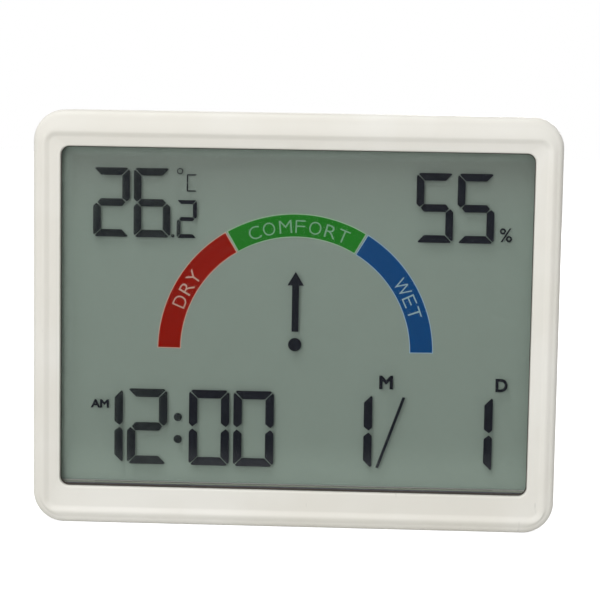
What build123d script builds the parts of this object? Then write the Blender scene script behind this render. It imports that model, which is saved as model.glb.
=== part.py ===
from build123d import *
from math import atan2, cos, degrees, hypot, pi, radians, sin
import os

# Thermometer hygrometer clock: a slim case with one large segment display.
# It stands upright with its stand folded. X runs to the right as seen from the front, Y runs
# from the front to the back, and Z points up. The origin lies on the surface that it stands
# on, under the middle of the case. All lengths are in millimetres.

# Case: a front frame and a rear cover that meet at the parting line
case_width = 130.0
case_height = 103.0
case_corner_radius = 7.7
case_wall = 2.0
frame_depth = 9.0
front_edge_radius = 1.5
back_edge_radius = 2.5
parting_bevel = 0.25
lip_length = 2.0
lip_thickness = 0.8
lip_clearance = 0.15
lip_root_length = 2.0

# Front rim: a flat crown, a soft step down to a land, and the window in the land
window_side_margin = 6.75
window_end_margin = 9.05
window_rise = 0.2
window_corner_radius = 2.2
window_edge_bevel = 0.3
window_wall_depth = 1.2
step_side_margin = 3.3
step_end_margin = 6.0
step_corner_radius = 2.4
step_depth = 0.7
step_crest_bevel = 0.35
step_foot_bevel = 0.3

# Display stack, from the front to the back
polariser_thickness = 0.2
polariser_margin = 0.9
glass_thickness = 1.1
glass_side_overlap = 2.2
glass_end_overlap = 1.8
contact_ledge = 2.75
cell_gap = 0.1
seal_width = 1.4
print_thickness = 0.1
reflector_thickness = 0.2
glass_fit = 0.15
rib_thickness = 1.0
rib_height = 1.8

# Retainer, contact strip and circuit board behind the display
retainer_thickness = 1.5
retainer_bar = 4.5
tab_radius = 1.8
strip_width = 2.0
strip_end_margin = 10.5
strip_margin = 0.3
strip_fit = 0.2
board_thickness = 1.6
board_side_inset = 9.0
board_strip_share = 0.67
board_gap = 0.3

# Screws, with the bosses and posts that take them
case_screw_side_inset = 15.0
case_screw_inset = 4.5
board_screw_share = 0.192
board_screw_inset = 5.0
case_boss_radius = 2.2
case_boss_end = 6.5
board_boss_radius = 1.9
post_radius = 2.8
pilot_radius = 0.85
shank_radius = 0.8
shank_hole_radius = 1.0
head_radius = 1.75
head_height = 1.3
head_edge_bevel = 0.5
head_hole_radius = 2.0
case_screw_seat_depth = 5.0
case_screw_end = 3.0
board_screw_length = 4.0
board_head_radius = 1.5
board_head_height = 1.0

# Display artwork, drawn about the middle of a window of this size and scaled with the window
artwork_width = 116.5
artwork_height = 84.9

# Segment digits: each is drawn from its width, height and stroke
corner_cut_share = 0.40
gap_share = 0.12
side_tip_share = 0.40
bar_tip_share = 0.58
side_tip_gap_share = 0.12

clock_digit_width = 10.1
clock_digit_height = 19.1
clock_stroke = 2.1
clock_digit_pitch = 11.15
clock_digit_bottom = -36.93
hour_units_x = -41.75
minute_tens_x = -26.2
colon_x = -28.97
colon_spread = 5.6
colon_z = -27.62
colon_radius = 1.04

reading_digit_width = 9.1
reading_digit_height = 17.15
reading_stroke = 1.88
reading_digit_pitch = 10.08
reading_digit_bottom = 20.1
temperature_x = -50.5
humidity_x = 29.4
tenths_x = -29.72
tenths_width = 5.0
tenths_height = 9.4
tenths_stroke = 0.98
point_x = -30.63
point_z = 20.56
point_radius = 0.43
degree_x = -28.98
degree_z = 36.62
degree_radius = 0.78
degree_line = 0.26
unit_x = -27.3
unit_bottom = 31.6
unit_width = 2.5
unit_height = 4.3
unit_stroke = 0.33

date_digit_height = 19.1
date_digit_bottom = -36.93
month_x = 19.61
day_x = 49.51
slash_foot_x = 20.99
slash_head_x = 27.39
slash_foot_z = -36.5
slash_head_z = -18.6
slash_width = 0.5

# Comfort arrow and dot, and the three colour zones that arch over them
arrow_tip_z = 12.25
arrow_head_length = 3.43
arrow_head_width = 4.12
arrow_shaft_width = 1.7
arrow_bottom_z = -2.69
arrow_dot_z = -5.93
arrow_dot_radius = 1.66
zone_outer_radius = 34.2
zone_band = 5.5
zone_centre_z = -7.81
zone_end_angle = 0.7
zone_side_angle = 58.1
zone_top_angle = 60.0

# Battery bay for two cells side by side, with its lift-off door
cell_radius = 5.25
cell_length = 44.5
cell_cap_radius = 1.9
cell_cap_height = 1.0
cell_edge_bevel = 0.4
cell_pitch = 11.8
cell_side_gap = 0.6
cell_rest_gap = 0.1
cell_lid_gap = 0.2
bay_rise = 0.5
bay_side_gap = 1.15
bay_front_gap = 1.2
bay_wall = 1.2
contact_thickness = 0.4
contact_width = 9.0
contact_tail_width = 2.0
contact_tail_length = 1.4
contact_tail_offset = 1.95
contact_slot_gap = 0.2
spring_height = 5.0
spring_wire_radius = 0.35
spring_turns = 3
spring_turn_steps = 12
spring_wire_sides = 6
spring_seat_share = 0.8
spring_small_radius = 2.2
spring_large_radius = 3.6
door_thickness = 1.5
door_land = 1.3
door_gap = 0.15
door_seat_gap = 0.1
door_corner_radius = 1.5
door_rib_height = 0.6
door_rib_width = 1.0
door_rib_length = 20.0
door_rib_spread = 28.0
door_tongue_width = 9.0
door_tongue_length = 7.0
door_tongue_slot = 0.8
door_key_width = 4.0
door_key_length = 1.6
door_key_spread = 14.0
door_grip_count = 4
door_grip_pitch = 1.8
door_grip_width = 0.8
door_grip_depth = 0.35

# Battery leads
lead_radius = 0.5
lead_sides = 8
lead_turn_share = 0.45
lead_end_share = 0.58

# Folding stand, hinged high on the back
stand_width_share = 0.277
stand_thickness = 3.2
stand_inset = 0.3
stand_side_gap = 0.3
stand_floor_gap = 0.2
stand_tip_z = 1.2
stand_hinge_rise = 0.5
stand_heel = 3.4
stand_corner_radius = 3.0
stand_edge_bevel = 0.5
stand_rim = 2.2
stand_pocket_depth = 1.7
stand_rib_width = 1.2
stand_rib_count = 3
stand_hub_height = 5.0
stand_grip_count = 4
stand_grip_pitch = 2.0
stand_grip_width = 0.9
stand_grip_depth = 0.4
stand_grip_length = 20.0
stand_grip_z = 6.0
stand_top_gap = 0.35
stand_stop_angle = 38.0
hinge_pin_radius = 1.25
hinge_pin_length = 1.9
hinge_pin_fit = 0.05
hinge_end_gap = 0.2
recess_wall = 1.5
recess_side_wall = 2.6

# Wall hanging keyhole
keyhole_inset = 17.0
keyhole_radius = 3.6
keyhole_slot_radius = 1.9
keyhole_slot_rise = 6.5
keyhole_room = 1.5
keyhole_room_depth = 3.3
keyhole_wall = 1.2

# Push buttons and the tact switches under them, placed by shares of the case's size
button_x_share = 0.3385
button_top_share = 0.816
button_pitch_share = 0.107
button_length = 9.0
button_width = 5.5
button_gap = 0.2
button_sink = 0.1
button_edge_bevel = 0.4
flange_margin = 1.2
flange_thickness = 0.9
flange_gap = 0.2
stem_width = 3.0
stem_rib = 1.0
button_panel_margin = 3.0
button_panel_depth = 0.6
button_panel_radius = 3.0
switch_size = 6.0
switch_height = 3.5
switch_edge = 0.5
plunger_radius = 1.75
plunger_rise = 1.5
plunger_depth = 0.7
plunger_gap = 0.1
plunger_room = 0.6

# Sensor vents and the parts on the board
vent_z_share = 0.272
vent_count = 6
vent_pitch = 3.2
vent_length = 16.0
vent_width = 1.6
sensor_width = 8.0
sensor_length = 6.0
sensor_height = 2.6
sensor_hole_width = 1.6
sensor_hole_height = 1.0
sensor_hole_pitch = 2.2
sensor_hole_depth = 1.0
bead_x_share = 0.396
bead_radius = 1.2
bead_length = 2.4
bead_bevel = 0.3
bead_stand_off = 2.0
bead_leg_width = 0.45
bead_leg_spread = 1.0
chip_x_share = 0.23
chip_z_share = 0.3
chip_radius = 6.5
chip_height = 1.7
chip_shoulder = 1.2
chip_slope = 3.0
crystal_x_share = 0.208
crystal_z_share = 0.427
crystal_radius = 1.0
crystal_length = 6.0
crystal_edge_bevel = 0.3
capacitor_z_share = 0.544
capacitor_pitch = 8.0
capacitor_count = 2
capacitor_radius = 2.5
capacitor_height = 6.5
capacitor_edge_bevel = 0.4

# Cuts run past the faces that they open by this much
overrun = 1.0
# Faces and edges are picked within this distance of a plane
reach = 0.05

# Depths along Y, worked out from the sizes above. The display, the battery bay and its door
# stand one behind the other, so they set how deep the case is.
display_depth = (step_depth + window_wall_depth + polariser_thickness + 2 * glass_thickness
                 + cell_gap + print_thickness + reflector_thickness)
bay_depth = cell_rest_gap + 2 * cell_radius + cell_lid_gap + door_rib_height + door_thickness
case_depth = display_depth + bay_front_gap + bay_wall + bay_depth
front_y = -case_depth / 2
back_y = case_depth / 2
parting_y = front_y + frame_depth
land_y = front_y + step_depth
bezel_back_y = land_y + window_wall_depth
polariser_back_y = bezel_back_y + polariser_thickness
front_glass_back_y = polariser_back_y + glass_thickness
cell_back_y = front_glass_back_y + cell_gap
rear_glass_back_y = cell_back_y + glass_thickness
print_back_y = rear_glass_back_y + print_thickness
reflector_back_y = print_back_y + reflector_thickness
retainer_back_y = reflector_back_y + retainer_thickness
board_back_y = retainer_back_y + board_thickness
cover_floor_y = back_y - case_wall

# Heights along Z and outlines that several pieces share
mid_z = case_height / 2
window_width = case_width - 2 * window_side_margin
window_height = case_height - 2 * window_end_margin
window_z = mid_z + window_rise
artwork_scale = min(window_width / artwork_width, window_height / artwork_height)
cavity_width = case_width - 2 * case_wall
cavity_height = case_height - 2 * case_wall
cavity_radius = case_corner_radius - case_wall
glass_width = window_width + 2 * glass_side_overlap
glass_height = window_height + 2 * glass_end_overlap
glass_bottom_z = window_z - glass_height / 2
glass_top_z = window_z + glass_height / 2
rear_glass_height = glass_height - contact_ledge
rear_glass_z = glass_top_z - rear_glass_height / 2
strip_z = glass_bottom_z + strip_margin + strip_width / 2
strip_length = glass_width - 2 * strip_end_margin
board_bottom_z = case_screw_inset + post_radius + board_gap
board_top_z = case_height - board_bottom_z
board_screw_x = board_screw_share * case_width
case_screw_x = case_width / 2 - case_screw_side_inset
case_screw_z = (case_screw_inset, case_height - case_screw_inset)
case_screw_places = [(x, z) for x in (-case_screw_x, case_screw_x) for z in case_screw_z]
case_screw_length = case_depth - case_screw_seat_depth - case_screw_end
board_foot_places = [(x, board_screw_inset) for x in (-board_screw_x, board_screw_x)]
board_head_places = [(x, case_height - board_screw_inset) for x in (-board_screw_x, board_screw_x)]
board_screw_places = board_foot_places + board_head_places
board_bosses = [(place, retainer_back_y) for place in board_foot_places]
board_bosses += [(place, reflector_back_y) for place in board_head_places]

stand_width = stand_width_share * case_width
stand_hinge_z = mid_z + stand_hinge_rise
recess_width = stand_width + 2 * stand_side_gap
recess_block_width = recess_width + 2 * recess_side_wall

bay_width = cell_pitch + 2 * cell_radius + 2 * cell_side_gap
bay_height = cell_length + spring_height + 2 * contact_thickness
bay_x = recess_block_width / 2 + bay_side_gap + bay_wall + bay_width / 2
bay_z = mid_z + bay_rise
bay_floor_y = back_y - bay_depth
bay_bottom_z = bay_z - bay_height / 2
bay_top_z = bay_z + bay_height / 2
cell_y = bay_floor_y + cell_radius + cell_rest_gap
left_cell_x = bay_x - cell_pitch / 2
right_cell_x = bay_x + cell_pitch / 2
tail_y = cell_y + contact_tail_offset
tail_end_z = bay_bottom_z - bay_wall - contact_tail_length
board_strip_width = case_width - 2 * board_side_inset
board_strip_height = board_strip_share * (bay_bottom_z - bay_wall - board_bottom_z)
board_column_width = (board_strip_width - recess_block_width) / 2
lead_end_z = board_bottom_z + lead_end_share * board_strip_height
door_seat_y = back_y - door_thickness - door_seat_gap
door_width = bay_width + 2 * door_land
door_height = bay_height + 2 * door_land

stand_back_y = back_y - stand_inset
stand_front_y = stand_back_y - stand_thickness
recess_floor_y = stand_front_y - stand_floor_gap
hinge_y = stand_back_y - stand_thickness / 2
heel_reach = hypot(stand_heel, stand_thickness / 2)
heel_angle = degrees(atan2(stand_heel, stand_thickness / 2))
heel_floor_y = hinge_y - heel_reach * cos(radians(heel_angle - stand_stop_angle))
recess_top_z = stand_hinge_z + heel_reach + stand_top_gap
heel_pocket_z = stand_hinge_z - stand_thickness / 2

keyhole_z = case_height - keyhole_inset
button_x = -button_x_share * case_width
button_names = ("set", "up", "down", "unit")
button_places = [(button_top_share - i * button_pitch_share) * case_height
                 for i in range(len(button_names))]
vent_z = vent_z_share * case_height
button_back_y = back_y - button_sink
flange_back_y = cover_floor_y - flange_gap
flange_front_y = flange_back_y - flange_thickness
switch_back_y = board_back_y + switch_height
plunger_back_y = switch_back_y + plunger_rise
plunger_front_y = switch_back_y - plunger_depth


def facing(y):
    """Give the sketch plane at depth y, seen from the front, with X to the right and Z up."""
    return Plane.XZ.offset(-y)


def display_plane(y):
    """Give the sketch plane at depth y whose origin is the middle of the window."""
    return Plane(origin=(0, y, window_z), x_dir=(1, 0, 0), z_dir=(0, -1, 0))


def rounded_outline(width, height, radius, centre_z=mid_z):
    """Draw a rounded rectangle about the middle of the case."""
    with Locations((0, centre_z)):
        RectangleRounded(width, height, radius)


os.makedirs("parts", exist_ok=True)

# Front frame: the moulded bezel with its stepped rim, display ribs and screw bosses
with BuildPart() as front_frame:
    with BuildSketch(facing(parting_y)):
        rounded_outline(case_width, case_height, case_corner_radius)
    extrude(amount=frame_depth)
    fillet(front_frame.faces().sort_by(Axis.Y)[0].edges(), front_edge_radius)
    chamfer(front_frame.faces().sort_by(Axis.Y)[-1].edges(), parting_bevel)
    with BuildSketch(facing(parting_y)):
        rounded_outline(cavity_width, cavity_height, cavity_radius)
    extrude(amount=parting_y - bezel_back_y, mode=Mode.SUBTRACT)
    # Step from the crown down to the land round the window
    with BuildSketch(facing(land_y)):
        rounded_outline(case_width - 2 * step_side_margin, case_height - 2 * step_end_margin,
                        step_corner_radius)
    extrude(amount=step_depth + overrun, mode=Mode.SUBTRACT)
    chamfer(front_frame.faces().sort_by(Axis.Y)[0].inner_wires()[0].edges(), step_crest_bevel)
    land_faces = front_frame.faces().filter_by(Axis.Y)
    land = land_faces.filter_by_position(Axis.Y, land_y - reach, land_y + reach)[0]
    chamfer(land.outer_wire().edges(), step_foot_bevel)
    with BuildSketch(facing(bezel_back_y + overrun)):
        rounded_outline(window_width, window_height, window_corner_radius, window_z)
    extrude(amount=window_wall_depth + step_depth + 2 * overrun, mode=Mode.SUBTRACT)
    land_faces = front_frame.faces().filter_by(Axis.Y)
    land = land_faces.filter_by_position(Axis.Y, land_y - reach, land_y + reach)[0]
    chamfer(land.inner_wires()[0].edges(), window_edge_bevel)
    # Rib that holds the display glass all round
    with BuildSketch(facing(bezel_back_y + rib_height)):
        with Locations((0, window_z)):
            Rectangle(glass_width + 2 * (glass_fit + rib_thickness),
                      glass_height + 2 * (glass_fit + rib_thickness))
            Rectangle(glass_width + 2 * glass_fit, glass_height + 2 * glass_fit,
                      mode=Mode.SUBTRACT)
    extrude(amount=rib_height)
    # Bosses for the case screws and the board screws
    with BuildSketch(facing(front_y + case_boss_end)):
        with Locations(case_screw_places):
            Circle(case_boss_radius)
    extrude(amount=front_y + case_boss_end - bezel_back_y)
    for (boss_x, boss_z), boss_end_y in board_bosses:
        with BuildSketch(facing(boss_end_y)):
            with Locations((boss_x, boss_z)):
                Circle(board_boss_radius)
        extrude(amount=boss_end_y - bezel_back_y)
    with BuildSketch(facing(parting_y)):
        with Locations(case_screw_places + board_screw_places):
            Circle(pilot_radius)
    extrude(amount=parting_y - bezel_back_y, mode=Mode.SUBTRACT)
front_frame.part.label = "front_frame"
export_step(front_frame.part, "parts/front_frame.step")

# Rear cover: the shell behind the parting line, with all that its back face holds
with BuildPart() as rear_cover:
    with BuildSketch(facing(back_y)):
        rounded_outline(case_width, case_height, case_corner_radius)
    extrude(amount=back_y - parting_y)
    fillet(rear_cover.faces().sort_by(Axis.Y)[-1].edges(), back_edge_radius)
    chamfer(rear_cover.faces().sort_by(Axis.Y)[0].edges(), parting_bevel)
    with BuildSketch(facing(cover_floor_y)):
        rounded_outline(cavity_width, cavity_height, cavity_radius)
    extrude(amount=cover_floor_y - parting_y + overrun, mode=Mode.SUBTRACT)
    # Lip that enters the front frame, on a thicker root inside the cover
    lip_width = cavity_width - 2 * lip_clearance
    lip_height = cavity_height - 2 * lip_clearance
    lip_radius = cavity_radius - lip_clearance
    with BuildSketch(facing(parting_y + lip_root_length)):
        rounded_outline(case_width - case_wall, case_height - case_wall,
                        case_corner_radius - case_wall / 2)
    extrude(amount=lip_root_length)
    with BuildSketch(facing(parting_y)):
        rounded_outline(lip_width, lip_height, lip_radius)
    extrude(amount=lip_length)
    with BuildSketch(facing(parting_y + lip_root_length)):
        rounded_outline(lip_width - 2 * lip_thickness, lip_height - 2 * lip_thickness,
                        lip_radius - lip_thickness)
    extrude(amount=lip_root_length + lip_length + overrun, mode=Mode.SUBTRACT)
    # Screw posts, trimmed to the lip's outline where they enter the front frame
    with BuildSketch(facing(cover_floor_y)):
        with Locations(case_screw_places):
            Circle(post_radius)
        with Locations((0, mid_z)):
            RectangleRounded(lip_width, lip_height, lip_radius, mode=Mode.INTERSECT)
    extrude(amount=cover_floor_y - front_y - case_boss_end)
    # Blocks for the battery bay, the stand recess, the heel pocket and the keyhole room
    with BuildSketch(facing(cover_floor_y)):
        with Locations((bay_x, bay_z)):
            Rectangle(bay_width + 2 * bay_wall, bay_height + 2 * bay_wall)
    extrude(amount=cover_floor_y - bay_floor_y + bay_wall)
    block_top_z = recess_top_z + recess_wall
    with BuildSketch(facing(cover_floor_y)):
        with Locations((0, (case_wall / 2 + block_top_z) / 2)):
            Rectangle(recess_block_width, block_top_z - case_wall / 2)
    extrude(amount=cover_floor_y - recess_floor_y + recess_wall)
    with BuildSketch(facing(cover_floor_y)):
        with Locations((0, (heel_pocket_z - recess_wall + block_top_z) / 2)):
            Rectangle(recess_block_width, block_top_z - heel_pocket_z + recess_wall)
    extrude(amount=cover_floor_y - heel_floor_y + recess_wall)
    room_width = 2 * (keyhole_radius + keyhole_room)
    room_height = keyhole_radius + keyhole_slot_rise + keyhole_slot_radius + 2 * keyhole_room
    room_z = keyhole_z - keyhole_radius - keyhole_room + room_height / 2
    with BuildSketch(facing(cover_floor_y)):
        with Locations((0, room_z)):
            Rectangle(room_width + 2 * keyhole_wall, room_height + 2 * keyhole_wall)
    extrude(amount=keyhole_room_depth + keyhole_wall)
    # Battery bay, the door's seat and the notches for its keys and tongue
    with BuildSketch(facing(back_y + overrun)):
        with Locations((bay_x, bay_z)):
            Rectangle(bay_width, bay_height)
    extrude(amount=back_y + overrun - bay_floor_y, mode=Mode.SUBTRACT)
    with BuildSketch(facing(back_y + overrun)):
        with Locations((bay_x, bay_z)):
            RectangleRounded(door_width + 2 * door_gap, door_height + 2 * door_gap,
                             door_corner_radius + door_gap)
        with Locations((bay_x - door_key_spread / 2, bay_z - door_height / 2),
                       (bay_x + door_key_spread / 2, bay_z - door_height / 2)):
            Rectangle(door_key_width + 2 * door_gap, 2 * (door_key_length + door_gap))
        with Locations((bay_x, bay_z + door_height / 2)):
            Rectangle(door_tongue_width + 2 * door_gap, 2 * (door_key_length + door_gap))
    extrude(amount=back_y + overrun - door_seat_y, mode=Mode.SUBTRACT)
    # Slots in the bay's lower wall for the contacts' tails
    with BuildSketch(Plane.XY.offset(bay_bottom_z - bay_wall - overrun)):
        with Locations((left_cell_x, tail_y), (right_cell_x, tail_y)):
            Rectangle(contact_tail_width + 2 * contact_slot_gap,
                      contact_thickness + 2 * contact_slot_gap)
    extrude(amount=bay_wall + 2 * overrun, mode=Mode.SUBTRACT)
    # Stand recess, open at the foot of the case, its heel pocket and its pin bores
    with BuildSketch(facing(back_y + overrun)):
        with Locations((0, (recess_top_z - overrun) / 2)):
            Rectangle(recess_width, recess_top_z + overrun)
    extrude(amount=back_y + overrun - recess_floor_y, mode=Mode.SUBTRACT)
    with BuildSketch(facing(back_y)):
        with Locations((0, (heel_pocket_z + recess_top_z) / 2)):
            Rectangle(recess_width, recess_top_z - heel_pocket_z)
    extrude(amount=back_y - heel_floor_y, mode=Mode.SUBTRACT)
    with BuildSketch(Plane.YZ):
        with Locations((hinge_y, stand_hinge_z)):
            Circle(hinge_pin_radius + hinge_pin_fit)
    extrude(amount=recess_width / 2 + hinge_pin_length + hinge_end_gap, both=True,
            mode=Mode.SUBTRACT)
    # Keyhole and the closed room behind it
    with BuildSketch(facing(cover_floor_y)):
        with Locations((0, room_z)):
            Rectangle(room_width, room_height)
    extrude(amount=keyhole_room_depth, mode=Mode.SUBTRACT)
    with BuildSketch(facing(back_y + overrun)):
        with Locations((0, keyhole_z)):
            Circle(keyhole_radius)
        with Locations((0, keyhole_z + keyhole_slot_rise / 2)):
            Rectangle(2 * keyhole_slot_radius, keyhole_slot_rise)
        with Locations((0, keyhole_z + keyhole_slot_rise)):
            Circle(keyhole_slot_radius)
    extrude(amount=case_wall + 2 * overrun, mode=Mode.SUBTRACT)
    # Button panel and holes
    button_mid_z = (button_places[0] + button_places[-1]) / 2
    with BuildSketch(facing(back_y + overrun)):
        with Locations((button_x, button_mid_z)):
            RectangleRounded(button_length + 2 * button_panel_margin,
                             button_places[0] - button_places[-1] + button_width
                             + 2 * button_panel_margin, button_panel_radius)
    extrude(amount=button_panel_depth + overrun, mode=Mode.SUBTRACT)
    with BuildSketch(facing(back_y + overrun)):
        with Locations([(button_x, z) for z in button_places]):
            SlotOverall(button_length + 2 * button_gap, button_width + 2 * button_gap)
    extrude(amount=case_wall + 2 * overrun, mode=Mode.SUBTRACT)
    # Vents over the sensor
    with BuildSketch(facing(back_y + overrun)):
        with Locations((button_x, vent_z)):
            with GridLocations(0, vent_pitch, 1, vent_count):
                Rectangle(vent_length, vent_width)
    extrude(amount=case_wall + 2 * overrun, mode=Mode.SUBTRACT)
    # Case screw holes, counterbored from the back
    with Locations([Location((x, back_y, z), (-90, 0, 0)) for x, z in case_screw_places]):
        CounterBoreHole(shank_hole_radius, head_hole_radius, case_screw_seat_depth,
                        back_y - front_y)
rear_cover.part.label = "rear_cover"
export_step(rear_cover.part, "parts/rear_cover.step")

# Battery door: a lift-off plate with a sprung tongue, two keys, ribs and grip grooves
with BuildPart() as battery_door:
    with BuildSketch(facing(back_y)):
        with Locations((bay_x, bay_z)):
            RectangleRounded(door_width, door_height, door_corner_radius)
        with Locations((bay_x - door_key_spread / 2, bay_z - door_height / 2),
                       (bay_x + door_key_spread / 2, bay_z - door_height / 2)):
            Rectangle(door_key_width, 2 * door_key_length)
        with Locations((bay_x, bay_z + door_height / 2)):
            Rectangle(door_tongue_width, 2 * door_key_length)
        # Two slots free the tongue
        slot_x = (door_tongue_width + door_tongue_slot) / 2
        with Locations((bay_x - slot_x, bay_z + door_height / 2),
                       (bay_x + slot_x, bay_z + door_height / 2)):
            Rectangle(door_tongue_slot, 2 * door_tongue_length, mode=Mode.SUBTRACT)
    extrude(amount=door_thickness)
    # Ribs that keep the cells down
    with BuildSketch(facing(back_y - door_thickness)):
        with Locations((bay_x, bay_z - door_rib_spread / 2), (bay_x, bay_z + door_rib_spread / 2)):
            Rectangle(door_rib_length, door_rib_width)
    extrude(amount=door_rib_height)
    grip_z = bay_z + door_height / 2 - door_tongue_length - door_grip_pitch
    with BuildSketch(facing(back_y)):
        with Locations([(bay_x, grip_z - i * door_grip_pitch) for i in range(door_grip_count)]):
            SlotOverall(door_tongue_width, door_grip_width)
    extrude(amount=door_grip_depth, mode=Mode.SUBTRACT)
battery_door.part.label = "battery_door"
export_step(battery_door.part, "parts/battery_door.step")

# Folding stand: a ribbed leg on two hinge pins, with a heel that stops it when it is open
with BuildPart() as folding_stand:
    stand_top_z = stand_hinge_z + stand_heel
    with BuildSketch(facing(stand_back_y)):
        with Locations((0, (stand_tip_z + stand_top_z) / 2)):
            leg = Rectangle(stand_width, stand_top_z - stand_tip_z)
        fillet(leg.vertices().group_by(Axis.Y)[0], stand_corner_radius)
    extrude(amount=stand_thickness)
    chamfer(folding_stand.faces().sort_by(Axis.Y)[-1].edges(), stand_edge_bevel)
    # Ribbed underside, between the rim and the solid hub at the hinge
    pocket_bottom_z = stand_tip_z + stand_rim
    pocket_top_z = stand_hinge_z - stand_hub_height
    pocket_height = pocket_top_z - pocket_bottom_z
    pocket_width = stand_width - 2 * stand_rim
    with BuildSketch(facing(stand_front_y + stand_pocket_depth)):
        with Locations((0, (pocket_bottom_z + pocket_top_z) / 2)):
            Rectangle(pocket_width, pocket_height)
            with GridLocations(pocket_width / (stand_rib_count + 1), 0, stand_rib_count, 1):
                Rectangle(stand_rib_width, pocket_height, mode=Mode.SUBTRACT)
    extrude(amount=stand_pocket_depth, mode=Mode.SUBTRACT)
    with BuildSketch(facing(stand_back_y)):
        with Locations([(0, stand_grip_z + i * stand_grip_pitch)
                        for i in range(stand_grip_count)]):
            SlotOverall(stand_grip_length, stand_grip_width)
    extrude(amount=stand_grip_depth, mode=Mode.SUBTRACT)
    with BuildSketch(Plane.YZ):
        with Locations((hinge_y, stand_hinge_z)):
            Circle(hinge_pin_radius)
    extrude(amount=recess_width / 2 + hinge_pin_length, both=True)
folding_stand.part.label = "folding_stand"
export_step(folding_stand.part, "parts/folding_stand.step")

# Push buttons: a pill cap with a flange that holds it in, and a ribbed stem
for name, button_z in zip(button_names, button_places):
    with BuildPart() as button:
        with BuildSketch(facing(back_y - button_sink)):
            with Locations((button_x, button_z)):
                SlotOverall(button_length, button_width)
        extrude(amount=button_back_y - flange_back_y)
        chamfer(button.faces().sort_by(Axis.Y)[-1].edges(), button_edge_bevel)
        with BuildSketch(facing(flange_back_y)):
            with Locations((button_x, button_z)):
                SlotOverall(button_length + 2 * flange_margin, button_width + 2 * flange_margin)
        extrude(amount=flange_thickness)
        with BuildSketch(facing(flange_front_y)):
            with Locations((button_x, button_z)):
                Rectangle(stem_width, stem_rib)
                Rectangle(stem_rib, stem_width)
        extrude(amount=flange_front_y - plunger_back_y)
    button.part.label = f"button_{name}"
    export_step(button.part, f"parts/button_{name}.step")

    # Plunger of the tact switch under this button
    with BuildPart() as plunger:
        with BuildSketch(facing(plunger_back_y)):
            with Locations((button_x, button_z)):
                Circle(plunger_radius)
        extrude(amount=plunger_back_y - plunger_front_y)
    plunger.part.label = f"plunger_{name}"
    export_step(plunger.part, f"parts/plunger_{name}.step")

# Tact switch bodies, each bored for its plunger
with BuildPart() as tact_switches:
    with BuildSketch(facing(switch_back_y)):
        with Locations([(button_x, z) for z in button_places]):
            Rectangle(switch_size, switch_size)
    extrude(amount=switch_height)
    chamfer(tact_switches.edges().filter_by(Axis.Y), switch_edge)
    with BuildSketch(facing(switch_back_y)):
        with Locations([(button_x, z) for z in button_places]):
            Circle(plunger_radius + plunger_gap)
    extrude(amount=plunger_depth + plunger_room, mode=Mode.SUBTRACT)
tact_switches.part.label = "tact_switches"
export_step(tact_switches.part, "parts/tact_switches.step")

# Display: front polariser, the two glasses with their seal, the zones and the reflector
with BuildPart() as front_polariser:
    with BuildSketch(display_plane(polariser_back_y)):
        Rectangle(glass_width - 2 * polariser_margin, glass_height - 2 * polariser_margin)
    extrude(amount=polariser_thickness)
front_polariser.part.label = "front_polariser"
export_step(front_polariser.part, "parts/front_polariser.step")

with BuildPart() as front_glass:
    with BuildSketch(display_plane(front_glass_back_y)):
        Rectangle(glass_width, glass_height)
    extrude(amount=glass_thickness)
front_glass.part.label = "front_glass"
export_step(front_glass.part, "parts/front_glass.step")

with BuildPart() as rear_glass:
    with BuildSketch(facing(rear_glass_back_y)):
        with Locations((0, rear_glass_z)):
            Rectangle(glass_width, rear_glass_height)
    extrude(amount=glass_thickness)
rear_glass.part.label = "rear_glass"
export_step(rear_glass.part, "parts/rear_glass.step")

with BuildPart() as cell_seal:
    with BuildSketch(facing(cell_back_y)):
        with Locations((0, rear_glass_z)):
            Rectangle(glass_width, rear_glass_height)
            Rectangle(glass_width - 2 * seal_width, rear_glass_height - 2 * seal_width,
                      mode=Mode.SUBTRACT)
    extrude(amount=cell_gap)
cell_seal.part.label = "cell_seal"
export_step(cell_seal.part, "parts/cell_seal.step")


def digit_outlines(left, bottom, width, height, stroke, lit):
    """Give the outlines of the lit segments of one digit, named a to g as on a display."""
    corner = corner_cut_share * stroke
    gap = gap_share * stroke / 2 * 2 ** 0.5
    side_tip = side_tip_share * stroke
    bar_tip = bar_tip_share * stroke
    side_gap = side_tip_gap_share * stroke
    middle = height / 2
    top_bar = [(stroke + gap, height - stroke), ((corner + gap) / 2, height - (corner - gap) / 2),
               (corner, height), (width - corner, height),
               (width - (corner + gap) / 2, height - (corner - gap) / 2),
               (width - stroke - gap, height - stroke)]
    middle_bar = [(bar_tip, middle), (stroke, middle + stroke / 2),
                  (width - stroke, middle + stroke / 2), (width - bar_tip, middle),
                  (width - stroke, middle - stroke / 2), (stroke, middle - stroke / 2)]
    upper_left = [(stroke, height - stroke - gap), ((corner - gap) / 2, height - (corner + gap) / 2),
                  (0, height - corner), (0, middle + side_gap + side_tip),
                  (side_tip, middle + side_gap), (stroke, middle + stroke / 2 + gap)]
    outlines = {
        "a": top_bar,
        "b": [(width - x, z) for x, z in upper_left],
        "c": [(width - x, height - z) for x, z in upper_left],
        "d": [(x, height - z) for x, z in top_bar],
        "e": [(x, height - z) for x, z in upper_left],
        "f": upper_left,
        "g": middle_bar,
    }
    return [[(left + x, bottom + z) for x, z in outlines[segment]] for segment in lit]


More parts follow.
